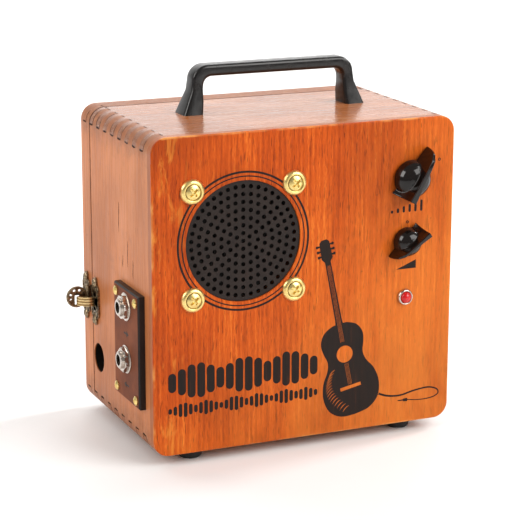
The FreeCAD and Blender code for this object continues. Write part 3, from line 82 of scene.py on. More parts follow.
def middle(node):
    low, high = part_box(node)
    return (low + high) / 2


# ---- materials

class Graph:
    """A small helper that writes one material's node tree."""

    def __init__(self, name):
        self.material = bpy.data.materials.new(name)
        self.material.use_nodes = True
        self.tree = self.material.node_tree
        self.shader = self.tree.nodes["Principled BSDF"]
        self.place = self.new("ShaderNodeTexCoord", "Object", {})

    def put(self, socket, value):
        """Links a socket, or sets a constant on it."""
        if isinstance(value, bpy.types.NodeSocket):
            self.tree.links.new(value, socket)
        elif value is not None:
            if socket.type == "RGBA" and len(value) == 3:
                value = (*value, 1)
            socket.default_value = value

    def new(self, kind, output, inputs, **settings):
        """Adds a node with its settings and inputs, and gives one of its outputs."""
        node = self.tree.nodes.new(kind)
        for key, value in settings.items():
            setattr(node, key, value)
        for key, value in inputs.items():
            self.put(node.inputs[key], value)
        return node.outputs[output]

    def scaled(self, scale, shift=(0, 0, 0)):
        return self.new("ShaderNodeMapping", "Vector", {
            "Vector": self.place, "Scale": scale, "Location": shift})

    def noise(self, vector, scale=1.0, detail=3.0, rough=0.5, twist=0.0):
        return self.new("ShaderNodeTexNoise", "Fac", {
            "Vector": vector, "Scale": scale, "Detail": detail, "Roughness": rough, "Distortion": twist})

    def voronoi(self, vector, scale=1.0):
        return self.new("ShaderNodeTexVoronoi", "Distance", {"Vector": vector, "Scale": scale})

    def bands(self, vector, scale, twist, detail=2.0, axis="X"):
        return self.new("ShaderNodeTexWave", "Fac", {
            "Vector": vector, "Scale": scale, "Distortion": twist, "Detail": detail, "Detail Scale": 1.2,
        }, bands_direction=axis)

    def math(self, kind, a, b=None):
        return self.new("ShaderNodeMath", 0, {0: a, 1: b}, operation=kind)

    def span(self, value, low, high, out_low=0.0, out_high=1.0, smooth=True):
        """Maps low..high to out_low..out_high, and holds the ends."""
        return self.new("ShaderNodeMapRange", "Result", {
            "Value": value, "From Min": low, "From Max": high, "To Min": out_low, "To Max": out_high,
        }, interpolation_type="SMOOTHSTEP" if smooth else "LINEAR")

    def ramp(self, value, stops):
        colour = self.new("ShaderNodeValToRGB", "Color", {"Fac": value})
        elements = colour.node.color_ramp.elements
        while len(elements) < len(stops):
            elements.new(0.5)
        for element, (where, tone) in zip(elements, stops):
            element.position = where
            element.color = (*tone, 1)
        return colour

    def mix(self, share, a, b):
        return self.new("ShaderNodeMix", 2, {"Factor": share, 6: a, 7: b}, data_type="RGBA")

    def axis(self, name):
        return self.new("ShaderNodeSeparateXYZ", name, {"Vector": self.place})

    def bump(self, height, distance, strength=1.0, after=None):
        return self.new("ShaderNodeBump", "Normal", {
            "Height": height, "Distance": distance, "Strength": strength, "Normal": after})

    def finish(self, **inputs):
        for name, value in inputs.items():
            self.put(self.shader.inputs[name.replace("_", " ")], value)
        return self.material


def shade(colour, share):
    return tuple(channel * share for channel in colour)


def edge_wear(g, low, high, axes, width):
    """1 near the outline of a panel between low and high, along the two axes, with a ragged inner limit."""
    near = []
    for name in axes:
        index = "XYZ".index(name)
        centre, half = (low[index] + high[index]) / 2, (high[index] - low[index]) / 2
        near.append(g.math("SUBTRACT", half, g.math("ABSOLUTE", g.math("SUBTRACT", g.axis(name), centre))))
    reach = g.math("MULTIPLY", g.noise(g.place, 260, 4, 0.7), width * 2)
    return g.span(g.math("SUBTRACT", g.math("MINIMUM", *near), reach), -width * 0.6, width * 0.4, 1.0, 0.0)


def wood(name, grain, across, tones, seed, gloss=0.42, coat=0.1, streak=0.6, grime=0.4, dirty=None, rim=None,
         shine=0.16, shaded_bore=None):
    """Varnished hardwood. grain is the axis that the fibres follow, and across the face's other axis.

    dirty is the axis along which the wood darkens towards its ends, with its limits, reach in metres and share.
    rim has the colours of a panel's edge behind its front face and of that face's worn outline, and the panel's
    box. The last argument is a bore whose wall is painted near-black: painted shade inside the recess.
    """
    g = Graph(name)
    shift = (seed * 0.37, seed * 0.21, seed * 0.53)

    def along(length, rest=1.0, crosswise=None):
        """Coordinates that stretch a pattern along the fibres."""
        scale = [rest] * 3
        scale[grain] = length
        if crosswise:
            scale[across] = crosswise
        return g.scaled(tuple(scale), shift=shift)

    darkest = tones[0][1]
    fibre = along(0.055, 0.8, 1.0)
    figure = g.noise(along(0.2, 0.7), 55, 4, 0.6, 0.8)
    streaks = g.noise(fibre, 900, 4, 0.62, 0.15)
    fine = g.noise(along(0.12), 2300, 2, 0.5)
    rings = g.bands(fibre, 90, 6.5, 3, "XYZ"[across])
    broad = g.noise(along(1.0), 15, 2, 0.5)
    tone = g.math("MULTIPLY", figure, 0.42)
    for pattern, weight in ((streaks, 0.30), (rings, 0.06), (fine, 0.22)):
        tone = g.math("ADD", tone, g.math("MULTIPLY", pattern, weight * streak))
    middle_tone = 0.5 * (0.42 + 0.58 * streak)
    colour = g.ramp(g.span(tone, middle_tone - 0.16, middle_tone + 0.16, smooth=False), tones)
    colour = g.mix(g.span(broad, 0.38, 0.68, 0.0, 0.45), colour, shade(darkest, 0.70))
    # Short dark pores along the fibres.
    pore = g.span(g.noise(along(0.075), 1700, 2, 0.5), 0.30, 0.40, 1.0, 0.0)
    colour = g.mix(g.math("MULTIPLY", pore, 0.5 * streak), colour, shade(darkest, 0.28))
    # Dents, specks and old stains.
    specks = g.span(g.voronoi(g.place, 78), 0.0, 0.075, 1.0, 0.0)
    chance = g.span(g.noise(g.place, 47, 1, 0.5), 0.55, 0.62)
    speck = g.math("MULTIPLY", specks, chance)
    colour = g.mix(g.math("MULTIPLY", speck, 0.6), colour, (0.035, 0.012, 0.006))
    stain = g.span(g.noise(g.scaled((1, 1, 1), shift=(seed + 3, 5, 1)), 22, 5, 0.66), 0.58, 0.74)
    colour = g.mix(g.math("MULTIPLY", stain, grime), colour, shade(darkest, 0.35))
    if dirty:
        axis, low, high, reach, share = dirty
        centre, half = (low + high) / 2, (high - low) / 2
        away = g.math("ABSOLUTE", g.math("SUBTRACT", g.axis(axis), centre))
        cloud = g.noise(g.place, 120, 5, 0.7)
        away = g.math("ADD", away, g.math("MULTIPLY", g.math("SUBTRACT", cloud, 0.5), reach * 1.2))
        dark = g.span(away, half - reach, half - 0.1 * reach, 0.0, share)
        colour = g.mix(dark, colour, (0.20, 0.072, 0.030))
        worn_spots = g.math("MULTIPLY", g.span(g.noise(g.place, 310, 4, 0.65), 0.55, 0.7), dark)
        colour = g.mix(worn_spots, colour, (0.50, 0.25, 0.12))
    if rim:
        edge_colour, worn, box = rim
        # A painted pool of light makes the face paler towards the lower right, more where the figure is light;
        # light flames of figure run along the left edge.
        light_pool_slant = g.math("SUBTRACT", g.axis("X"), g.math("MULTIPLY", g.axis("Z"), 0.8))
        pale = g.math("MULTIPLY", g.span(light_pool_slant, -0.13, 0.06, 0.0, 0.55), g.span(figure, 0.3, 0.6, 0.5, 1.0))
        colour = g.mix(pale, colour, (0.78, 0.245, 0.036))
        leftmost = g.span(g.axis("X"), box[0].x + 0.004, box[0].x + 0.030, 1.0, 0.0)
        flame = g.noise(g.scaled((1.0, 1.0, 0.28), shift=(1.7, 0.3, 0.9)), 150, 4, 0.62, 0.6)
        flame = g.math("MULTIPLY", g.span(flame, 0.52, 0.68), leftmost)
        colour = g.mix(g.math("MULTIPLY", flame, 0.55), colour, (0.80, 0.30, 0.042))
        behind = g.span(g.axis("Y"), FRONT_Y + 0.0010, FRONT_Y + 0.0019)
        thin = edge_wear(g, *box, "XZ", 0.0009)
        light = g.span(g.noise(g.place, 42, 3, 0.6), 0.42, 0.62)
        colour = g.mix(g.math("MULTIPLY", thin, g.math("MULTIPLY", light, 0.8)), colour, worn)
        tinted = g.mix(g.span(figure, 0.3, 0.65), edge_colour, shade(edge_colour, 0.72))
        colour = g.mix(behind, colour, tinted)
    # Painted shade: the bore's wall, inside the recess, is painted near-black.
    if shaded_bore:
        centre, radius, face_x = shaded_bore
        far = [g.math("POWER", g.math("SUBTRACT", g.axis(a), centre["XYZ".index(a)]), 2.0) for a in "YZ"]
        inside = g.span(g.math("SQRT", g.math("ADD", *far)), radius + 0.0002, radius + 0.0004, 1.0, 0.0)
        inside = g.math("MULTIPLY", inside, g.span(g.axis("X"), face_x + 0.0002, face_x + 0.0009))
        colour = g.mix(inside, colour, (0.008, 0.006, 0.005))
    rough = g.span(g.noise(fibre, 500, 3, 0.6), 0.3, 0.7, gloss - 0.07, gloss + 0.10)
    height = g.math("SUBTRACT", g.math("MULTIPLY", streaks, 0.4), g.math("MULTIPLY", pore, 0.6))
    height = g.math("SUBTRACT", height, g.math("MULTIPLY", speck, 1.5))
    normal = g.bump(height, 0.00008, 0.55)
    soft = g.bump(g.noise(fibre, 150, 2, 0.5), 0.00016, 0.22, normal)
    return g.finish(Base_Color=colour, Roughness=rough, Normal=soft, Coat_Weight=coat, Coat_Roughness=0.14,
                    Specular_IOR_Level=shine)


def metal(name, light, dark, rough=0.22, patina=0.0, brushed=None, scale=420.0, bump=0.00003):
    """Metal with uneven polish; patina is how much of the dark tone lies in its hollows."""
    g = Graph(name)
    cloud = g.noise(g.place, scale, 5, 0.62)
    share = g.span(cloud, 0.46 - 0.2 * patina, 0.72 - 0.12 * patina, 0.0, 0.35 + 0.65 * patina)
    colour = g.mix(share, light, dark)
    grain = g.noise(g.scaled(brushed or (1, 1, 1)), 1300, 3, 0.6)
    polish = g.span(cloud, 0.3, 0.75, rough * 0.75, rough * 1.5)
    roughness = g.math("ADD", polish, g.math("MULTIPLY", grain, 0.06))
    normal = g.bump(grain, bump, 0.6)
    return g.finish(Base_Color=colour, Metallic=1.0, Roughness=roughness, Normal=normal)


def plastic(name, light, dark, rough=0.4, scale=900.0, bump=0.00004, coat=0.0, coat_rough=0.1, spec=0.5):
    """Moulded plastic, rubber, lacquer or paper, with a fine texture and slight marks."""
    g = Graph(name)
    cloud = g.noise(g.place, scale * 0.12, 4, 0.6)
    colour = g.mix(g.span(cloud, 0.35, 0.7), light, dark)
    grain = g.noise(g.place, scale * 2.2, 3, 0.6)
    roughness = g.span(cloud, 0.3, 0.7, max(rough - 0.06, 0.02), rough + 0.07)
    normal = g.bump(grain, bump, 0.5)
    return g.finish(Base_Color=colour, Roughness=roughness, Normal=normal, Coat_Weight=coat,
                    Coat_Roughness=coat_rough, Specular_IOR_Level=spec)


def panel_box(*nodes):
    """The corners of the box round some nodes."""
    corners = [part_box(node) for node in nodes]
    low = Vector(min(c[0][i] for c in corners) for i in range(3))
    high = Vector(max(c[1][i] for c in corners) for i in range(3))
    return low, high


FRONT_TONES = [(0.0, (0.34, 0.044, 0.0035)), (0.4, (0.52, 0.074, 0.0050)), (0.7, (0.62, 0.100, 0.0080)),
               (1.0, (0.76, 0.175, 0.0180))]
SIDE_TONES = [(0.0, (0.42, 0.130, 0.040)), (0.45, (0.58, 0.195, 0.066)), (0.75, (0.65, 0.235, 0.086)),
              (1.0, (0.74, 0.300, 0.118))]
TOP_TONES = [(0.0, (0.27, 0.075, 0.020)), (0.45, (0.41, 0.130, 0.038)), (0.75, (0.50, 0.175, 0.055)),
             (1.0, (0.60, 0.240, 0.085))]
CABINET = panel_box("front_panel", "back_board")
DIRTY_Z = ("Z", BASE_Z, BASE_Z + TALL * MM, 0.022, 0.62)
DIRTY_X = ("X", CABINET[0].x, CABINET[1].x, 0.015, 0.6)
RIM = ((0.42, 0.135, 0.050), (0.78, 0.33, 0.085), CABINET)
# The access hole's wall on the left board is painted near-black, as painted shade.
SHADED_ACCESS_HOLE = (middle("supply_socket"), 8.6 * MM, CABINET[0].x)
ANTIQUE = ((0.42, 0.32, 0.20), (0.085, 0.060, 0.038))
MATERIALS = {
    "front": wood("front_wood", 2, 0, FRONT_TONES, 0.0, 0.33, 0.06, 1.4, 0.25, rim=RIM, shine=0.10),
    "left": wood("left_wood", 2, 1, SIDE_TONES, 2.0, coat=0.05, dirty=DIRTY_Z, shaded_bore=SHADED_ACCESS_HOLE),
    "right": wood("right_wood", 2, 1, SIDE_TONES, 5.0, dirty=DIRTY_Z),
    "top": wood("top_wood", 0, 1, TOP_TONES, 7.0, 0.24, 0.28, 0.7, 0.3, DIRTY_X),
    "bottom": wood("bottom_wood", 0, 1, SIDE_TONES, 9.0, 0.5, 0.05, 0.7, 0.6, DIRTY_X),
    "rails": wood("rail_wood", 2, 1, SIDE_TONES, 12.0, coat=0.05, grime=0.35, dirty=DIRTY_Z),
    "back": wood("back_wood", 2, 0, SIDE_TONES, 15.0, streak=0.8, dirty=DIRTY_Z),
    "plate": plastic("plate_brown", (0.150, 0.042, 0.018), (0.235, 0.076, 0.036), 0.6, 500, 0.00006,
                     spec=0.1),
    "plate_edge": plastic("plate_edge", (0.010, 0.006, 0.005), (0.018, 0.010, 0.008), 0.4, 500, spec=0.3),
    "handle": plastic("handle_plastic", (0.0060, 0.0052, 0.0048), (0.010, 0.0085, 0.008), 0.22, 1400, 0.00002,
                      coat_rough=0.25),
    "knob": plastic("knob_plastic", (0.0050, 0.0030, 0.0024), (0.008, 0.0045, 0.0034), 0.07, 500, 0.000008,
                    coat_rough=0.04, spec=0.42),
    "component": plastic("component_plastic", (0.012, 0.012, 0.014), (0.022, 0.022, 0.024), 0.45, 900),
    "rubber": plastic("rubber_black", (0.010, 0.010, 0.010), (0.018, 0.017, 0.016), 0.72, 900, 0.00008),
    "brass": metal("bright_brass", (0.88, 0.68, 0.26), (0.72, 0.50, 0.14), 0.26, 0.1),
    "antique": metal("antique_brass", *ANTIQUE, 0.36, 0.55, None, 900, 0.00006),
    "nickel": metal("nickel", (0.62, 0.56, 0.50), (0.40, 0.34, 0.29), 0.17, 0.2),
    # Near-black steel for the supply bracket: painted shade, as the bracket sits in shade inside the access hole.
    "shaded_black_steel": metal("shaded_black_steel", (0.055, 0.052, 0.05), (0.02, 0.019, 0.018), 0.45, 0.3),
    "steel": metal("zinc_steel", (0.55, 0.56, 0.57), (0.36, 0.37, 0.39), 0.33, 0.3, (1, 1, 0.2)),
    "grille": plastic("grille_black", (0.014, 0.0075, 0.0055), (0.021, 0.012, 0.009), 0.5, 700, 0.00005,
                      spec=0.25),
    "paper": plastic("cone_paper", (0.022, 0.020, 0.019), (0.045, 0.042, 0.038), 0.85, 700, 0.0002),
    "cloth": plastic("spider_cloth", (0.38, 0.20, 0.06), (0.50, 0.30, 0.12), 0.8, 2000, 0.0002),
    "ferrite": plastic("magnet_ferrite", (0.020, 0.020, 0.022), (0.035, 0.035, 0.038), 0.5, 600, 0.00006),
    "laminate": plastic("circuit_laminate", (0.010, 0.085, 0.030), (0.016, 0.120, 0.045), 0.32, 300, 0.00002,
                        0.3),
    "copper": metal("coil_copper", (0.75, 0.32, 0.14), (0.5, 0.18, 0.07), 0.3, 0.3),
    "aluminium": metal("sink_aluminium", (0.62, 0.63, 0.65), (0.42, 0.43, 0.45), 0.35, 0.2, (1, 1, 0.06)),
    "sleeve": plastic("lead_sleeve", (0.012, 0.012, 0.014), (0.03, 0.03, 0.032), 0.5, 900),
    "tan": plastic("resistor_body", (0.48, 0.29, 0.12), (0.62, 0.42, 0.2), 0.4, 900),
    # Near-black lines: glue in the open joints, cracks and knocks, and also the painted shade along the rear
    # seam.
    "glue": plastic("glue_line_and_seam_shade", (0.040, 0.014, 0.008), (0.016, 0.007, 0.005), 0.8, 1500, spec=0.1),
}


def ink_material():
    """Print or burnt marks on the varnish: the wood's pores show through as small gaps."""
    g = Graph("burnt_ink")
    fibre = g.scaled((1, 1, 0.08))
    cloud = g.noise(fibre, 500, 4, 0.6)
    colour = g.ramp(cloud, [(0.3, (0.0075, 0.0045, 0.0035)), (0.62, (0.017, 0.008, 0.005)),
                            (0.8, (0.06, 0.018, 0.007))])
    rough = g.span(cloud, 0.3, 0.7, 0.42, 0.58)
    return g.finish(Base_Color=colour, Roughness=rough, Normal=g.bump(cloud, 0.00003, 0.5),
                    Specular_IOR_Level=0.2)


def lens_material():
    """Red translucent plastic of the indicator."""
    g = Graph("lens_red")
    cloud = g.noise(g.place, 900, 2, 0.5)
    colour = g.mix(g.span(cloud, 0.3, 0.7), (0.50, 0.003, 0.004), (0.66, 0.008, 0.008))
    return g.finish(Base_Color=colour, Roughness=g.span(cloud, 0.3, 0.7, 0.08, 0.16), Coat_Weight=0.2,
                    Coat_Roughness=0.03, Emission_Color=(0.8, 0.0, 0.0, 1), Emission_Strength=0.06)


def glass_material():
    """Clear glass of the tube's envelope."""
    g = Graph("tube_glass")
    cloud = g.noise(g.place, 120, 2, 0.5)
    return g.finish(Base_Color=(0.95, 0.97, 0.98, 1), Roughness=g.span(cloud, 0.3, 0.7, 0.01, 0.06),
                    Transmission_Weight=1.0, IOR=1.46)


def keeper_material():
    """Antique brass whose tongue, beyond the plate, is ribbed and bright gold: rubbed brass with a painted
    highlight.
    """
    g = Graph("keeper_brass")
    plate_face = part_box("left_board")[0].x - 1.4 * MM
    out = g.span(g.axis("X"), plate_face - 0.0004, plate_face, 1.0, 0.0)
    cloud = g.noise(g.place, 900, 5, 0.62)
    old = g.mix(g.span(cloud, 0.36, 0.6), *ANTIQUE)
    rib = g.bands(g.scaled((1, 1, 1)), 190, 0.6, 1, "Z")
    # The tongue's bright ribbed gold is partly rubbed brass and partly a painted highlight.
    rubbed_gold_and_highlight = g.mix(g.span(rib, 0.3, 0.75), (0.30, 0.18, 0.07), (0.80, 0.60, 0.30))
    normal = g.bump(g.mix(out, cloud, rib), 0.00012, 0.7)
    rough = g.span(cloud, 0.3, 0.75, 0.24, 0.42)
    return g.finish(Base_Color=g.mix(out, old, rubbed_gold_and_highlight), Metallic=1.0, Roughness=rough, Normal=normal)


MATERIALS["keeper"] = keeper_material()
MATERIALS["ink"] = ink_material()
MATERIALS["lens"] = lens_material()
MATERIALS["glass"] = glass_material()

# The CAD nodes that take each material.
NODE_LOOKS = {
    "front": "front_panel", "left": "left_board", "right": "right_board", "top": "top_board",
    "bottom": "bottom_board", "rails": "lid_rails", "back": "back_board", "handle": "carry_handle",
    "antique": "case_screws lid_screws hinge_body_leaves hinge_lid_leaves lid_pins latch_lid_plate"
               " latch_hasp",
    "keeper": "latch_keeper", "rubber": "rubber_feet speaker_gasket speaker_surround",
    "grille": "speaker_grille",
    "steel": "chassis_screws handle_screws foot_screws speaker_basket speaker_yoke speaker_nuts"
             " potentiometers tube_electrodes",
    "cloth": "speaker_spider", "paper": "speaker_cone dust_cap", "copper": "voice_coil",
    "ferrite": "speaker_magnet", "tan": "speaker_terminals resistors",
    "brass": "cup_washers speaker_screws jack_plate_screws board_standoffs",
    "nickel": "control_nuts volume_shaft gain_shaft lamp_bezel output_jack input_jack jack_nuts jack_washers",
    "knob": "volume_knob gain_knob", "lens": "lamp_lens", "plate": "jack_plate",
    # The supply bracket takes near-black steel: painted shade inside the access hole.
    "shaded_black_steel": "supply_bracket",
    "component": "supply_socket tube_socket output_chip capacitors", "laminate": "circuit_board",
    "glass": "tube_glass", "aluminium": "heatsink", "sleeve": "wiring_loom",
}
for look, nodes in NODE_LOOKS.items():
    for node in nodes.split():
        holder = frame["nodes"][node]
        if not holder.material_slots:
            holder.data.materials.append(MATERIALS[look])
        for entry in holder.material_slots:
            entry.material = MATERIALS[look]


# ---- building pieces

def piece(name, mesh, look, body, node=None, sharp=38):
    """Makes mesh a shown piece that rides on a body, with its material, and hides the CAD node that it stands in
    for.
    """
    shown = bpy.data.objects.new(name, mesh)
    bpy.context.scene.collection.objects.link(shown)
    mesh.materials.clear()
    mesh.materials.append(MATERIALS[look])
    mesh.shade_smooth()
    mesh.set_sharp_from_angle(angle=math.radians(sharp))
    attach(shown, body)
    if node:
        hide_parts(node)
    return shown


def mesh_from(name, vertices, faces):
    mesh = bpy.data.meshes.new(name)
    mesh.from_pydata([tuple(v) for v in vertices], [], faces)
    mesh.validate()
    return mesh


def baked(holder):
    """The mesh of an object after its modifiers; the object itself is removed."""
    bpy.context.view_layer.update()
    graph = bpy.context.evaluated_depsgraph_get()
    mesh = bpy.data.meshes.new_from_object(holder.evaluated_get(graph))
    bpy.data.objects.remove(holder)
    return mesh


def joined(meshes):
    work = bmesh.new()
    for mesh in meshes:
        work.from_mesh(mesh)
    result = bpy.data.meshes.new("joined")
    work.to_mesh(result)
    work.free()
    return result


def outward(mesh, weld=None):
    """Turns a mesh's faces outwards, after welding points that are closer than weld."""
    work = bmesh.new()
    work.from_mesh(mesh)
    if weld:
        bmesh.ops.remove_doubles(work, verts=work.verts, dist=weld)
    bmesh.ops.recalc_face_normals(work, faces=work.faces)
    work.to_mesh(mesh)
    work.free()
    return mesh


def skin(name, rings):
    """A closed tube through rings that have the same number of points."""
    count, last = len(rings[0]), len(rings) - 1
    faces = [(k * count + i, k * count + j, (k + 1) * count + j, (k + 1) * count + i)
             for k in range(last) for i, j in zip(range(count), [*range(1, count), 0])]
    faces += [tuple(reversed(range(count))), tuple(range(last * count, (last + 1) * count))]
    return mesh_from(name, [point for ring in rings for point in ring], faces)


# Frames that point a piece's own +Z out of the front and out of the left side.
TO_FRONT = Matrix(((1, 0, 0), (0, 0, -1), (0, 1, 0))).to_4x4()
TO_LEFT = Matrix(((0, 0, -1), (-1, 0, 0), (0, 1, 0))).to_4x4()


def placed(mesh, where, facing=TO_FRONT, turn=0.0):
    """A copy of the mesh, drawn in mm about its own origin, at a point of the row frame."""
    mesh = mesh.copy()
    mesh.transform(Matrix.Translation(where) @ facing @ Matrix.Rotation(math.radians(turn), 4, "Z")
                   @ Matrix.Scale(MM, 4))
    return mesh


def lathe(profile, segments=72, shape=None):
    """Turns (radius, height) points, in mm, about Z. shape(angle, radius, height) may change a radius."""
    vertices, faces = [], []
    count = len(profile)
    for k in range(segments):
        angle = 2 * math.pi * k / segments
        for radius, height in profile:
            r = shape(angle, radius, height) if shape else radius
            vertices.append((r * math.cos(angle), r * math.sin(angle), height))
    for k in range(segments):
        after = (k + 1) % segments
        for i in range(count - 1):
            faces.append((k * count + i, after * count + i, after * count + i + 1, k * count + i + 1))
    return outward(mesh_from("lathe", vertices, faces), 1e-5)


def rounded(points, steps=6):
    """A smooth open curve through (u, v) points (Catmull-Rom)."""
    result = []
    for k in range(len(points) - 1):
        a, b, c, d = (Vector(points[min(max(k + j, 0), len(points) - 1)]) for j in (-1, 0, 1, 2))
        for i in range(steps):
            t = i / steps
            result.append(0.5 * ((2 * b) + (c - a) * t + (2 * a - 5 * b + 4 * c - d) * t ** 2
                                 + (3 * b - a - 3 * c + d) * t ** 3))
    return result + [Vector(points[-1])]


def outline_mesh(loops, thick, bevel=0.0, steps=2):
    """A flat plate with holes from closed outlines (u, v) in mm; its back is at z = 0."""
    curve = bpy.data.curves.new("outline", "CURVE")
    curve.dimensions = "2D"
    curve.fill_mode = "BOTH"
    curve.extrude = thick / 2 - bevel
    curve.bevel_depth = bevel
    curve.bevel_resolution = steps
    curve.offset = -bevel
    for loop in loops:
        spline = curve.splines.new("POLY")
        spline.points.add(len(loop) - 1)
        for point, (u, v) in zip(spline.points, loop):
            point.co = (u, v, 0, 1)
        spline.use_cyclic_u = True
    holder = bpy.data.objects.new("outline", curve)
    bpy.context.scene.collection.objects.link(holder)
    mesh = baked(holder)
    mesh.transform(Matrix.Translation((0, 0, thick / 2)))
    return mesh


def ring_loop(radius, count=64, u=0.0, v=0.0):
    return [(u + radius * math.cos(2 * math.pi * k / count), v + radius * math.sin(2 * math.pi * k / count))
            for k in range(count)]


def stroke(points, widths):
    """A closed outline round a line whose width changes along it."""
    left, right = [], []
    last = len(points) - 1
    for k, point in enumerate(points):
        ahead = Vector(points[min(k + 1, last)]) - Vector(points[max(k - 1, 0)])
        side = Vector((-ahead.y, ahead.x)).normalized() * widths[k] / 2
        left.append(tuple(Vector(point) + side))
        right.append(tuple(Vector(point) - side))
    return left + right[::-1]


def pill(u, low, high, width, count=8):
    """A bar with round ends."""
    r = width / 2
    arc = [(r * math.cos(math.pi * k / count), r * math.sin(math.pi * k / count)) for k in range(count + 1)]
    return [(u + c, high - r + d) for c, d in arc] + [(u - c, low + r - d) for c, d in arc]


# ---- knobs

def between(table, x):
    """Linear interpolation in a table of (x, value) rows."""
    for (x0, v0), (x1, v1) in zip(table, table[1:]):
        if x <= x1:
            return v0 + (v1 - v0) * max(0.0, x - x0) / (x1 - x0)
    return table[-1][1]


def knob_mesh(tall, skirt, tip, tail, flare):
    """A pointer knob in mm: a domed hub with a tall bar across it, blunt at its tail, with a beak at +X."""
    dome = lathe([(r * skirt, h * tall) for r, h in (
        (0, 0.645), (0.22, 0.64), (0.44, 0.605), (0.63, 0.54), (0.79, 0.44), (0.9, 0.32), (0.965, 0.2),
        (0.995, 0.09), (1.0, 0.03), (0.98, 0), (0, 0))], 72)
    # The bar's half width at its foot and ridge, as shares of flare, and its height as a share of tall.
    foot = [(-tail, 1.0), (-0.75 * tail, 0.84), (-0.5 * tail, 0.71), (-0.2 * tail, 0.63), (0.15 * tip, 0.56),
            (0.4 * tip, 0.44), (0.7 * tip, 0.28), (0.9 * tip, 0.18), (tip, 0.1)]
    ridge = [(-tail, 0.26), (-0.5 * tail, 0.2), (0, 0.17), (0.4 * tip, 0.15), (0.7 * tip, 0.13),
             (0.9 * tip, 0.11), (tip, 0.08)]
    crest = [(0.42 * tip, 1.0), (0.55 * tip, 0.985), (0.68 * tip, 0.945), (0.78 * tip, 0.865),
             (0.86 * tip, 0.755), (0.92 * tip, 0.6), (0.965 * tip, 0.42), (0.99 * tip, 0.24), (tip, 0.1)]
    places = sorted({*(-tail + (tip + tail) * k / 26 for k in range(22)), *(x for x, _ in crest[4:])})
    base, levels, hollow = 0.4, 12, 2.1
    rings = []
    for x in places:
        top = tall * between(crest, x)
        side = []
        for k in range(levels + 1):
            height = base + (top - base) * k / levels
            rise = (height - base) / (tall - base)
            wide = flare * (between(ridge, x) + (between(foot, x) - between(ridge, x)) * (1 - rise) ** hollow)
            side.append((x, wide, height))
        rings.append(side + [(x, -y, z) for _, y, z in reversed(side)])
    bar = skin("bar", rings)
    holder = bpy.data.objects.new("knob_work", outward(joined([dome, bar])))
    bpy.context.scene.collection.objects.link(holder)
    remesh = holder.modifiers.new("remesh", "REMESH")
    remesh.mode = "VOXEL"
    remesh.voxel_size = 0.24
    smooth = holder.modifiers.new("smooth", "SMOOTH")
    smooth.factor = 0.5
    smooth.iterations = 6
    return baked(holder)


# For each knob its turn in degrees, then its height, skirt radius, tip, tail and flare in mm.
KNOBS = {"volume": (61, 14.5, 11, 20, 12.2, 7.6), "gain": (215, 13.6, 8.4, 13.8, 10.4, 5.6)}


def make_knobs():
    for name, (turn, *sizes) in KNOBS.items():
        where = middle(f"{name}_shaft")
        where.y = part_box(f"{name}_knob")[1].y
        piece(f"{name}_pointer", placed(knob_mesh(*sizes), where, TO_FRONT, turn), "knob", f"{name}_control",
              f"{name}_knob", 70)


# ---- handle

def make_handle():
    """A moulded handle: an outer and an inner line, with a rounded section between their points."""
    low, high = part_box("carry_handle")
    centre = (low + high) / 2
    wide, tall = (high.x - low.x) / 2 / MM, (high.z - low.z) / MM
    outer_top, inner_top, bar = wide - 6.4, wide - 12.8, 6.6

    def corner(x, z, radius, steps=14):
        angles = [math.radians(2 + 88 * k / steps) for k in range(steps + 1)]
        return [(x + radius * math.cos(a), z + radius * math.sin(a)) for a in angles]

    outer = [(wide, 0), (wide - 0.6, 1.5), (wide - 2.9, 7), (outer_top + 0.9, 13),
             (outer_top + 0.35, tall - 10)]
    outer += corner(outer_top - 8.8, tall - 9, 9)
    inner = [(wide - 11.8, 0), (wide - 12.0, 1.5), (wide - 12.6, 7), (inner_top + 0.15, 13),
             (inner_top, tall - bar - 6)]
    inner += corner(inner_top - 5.2, tall - bar - 5, 5)
    top_steps = 10
    for line, end, level in ((outer, outer_top - 8.8, tall), (inner, inner_top - 5.2, tall - bar)):
        line += [(end - end * k / top_steps, level) for k in range(1, top_steps + 1)]
    stations = list(zip(outer, inner))
    stations += [((-a[0], a[1]), (-b[0], b[1])) for a, b in reversed(stations[:-1])]
    edge_r, per_corner = 1.9, 5
    bar_deep, foot_more, foot_tall = 11, 5, 17
    rings = []
    for (ox, oz), (ix, iz) in stations:
        level = (oz + iz) / 2
        deep = bar_deep + foot_more * max(0.0, 1 - level / foot_tall) ** 1.15
        thick = math.hypot(ox - ix, oz - iz)
        ux, uz = (ox - ix) / thick, (oz - iz) / thick
        mx, mz = (ox + ix) / 2, (oz + iz) / 2
        ring = []
        for cx, cy, start in ((1, 1, 0), (-1, 1, 90), (-1, -1, 180), (1, -1, 270)):
            for k in range(per_corner + 1):
                angle = math.radians(start + 90 * k / per_corner)
                a = cx * (thick / 2 - edge_r) + edge_r * math.cos(angle)
                b = cy * (deep / 2 - edge_r) + edge_r * math.sin(angle)
                ring.append((mx + ux * a, b, mz + uz * a))
        rings.append(ring)
    mesh = outward(skin("handle", rings))
    mesh.transform(Matrix.Translation((centre.x, centre.y, low.z)) @ Matrix.Scale(MM, 4))
    piece("handle_moulding", mesh, "handle", "cabinet", "carry_handle", 50)


# ---- speaker trim

def held(value):
    return max(0.0, min(1.0, value))


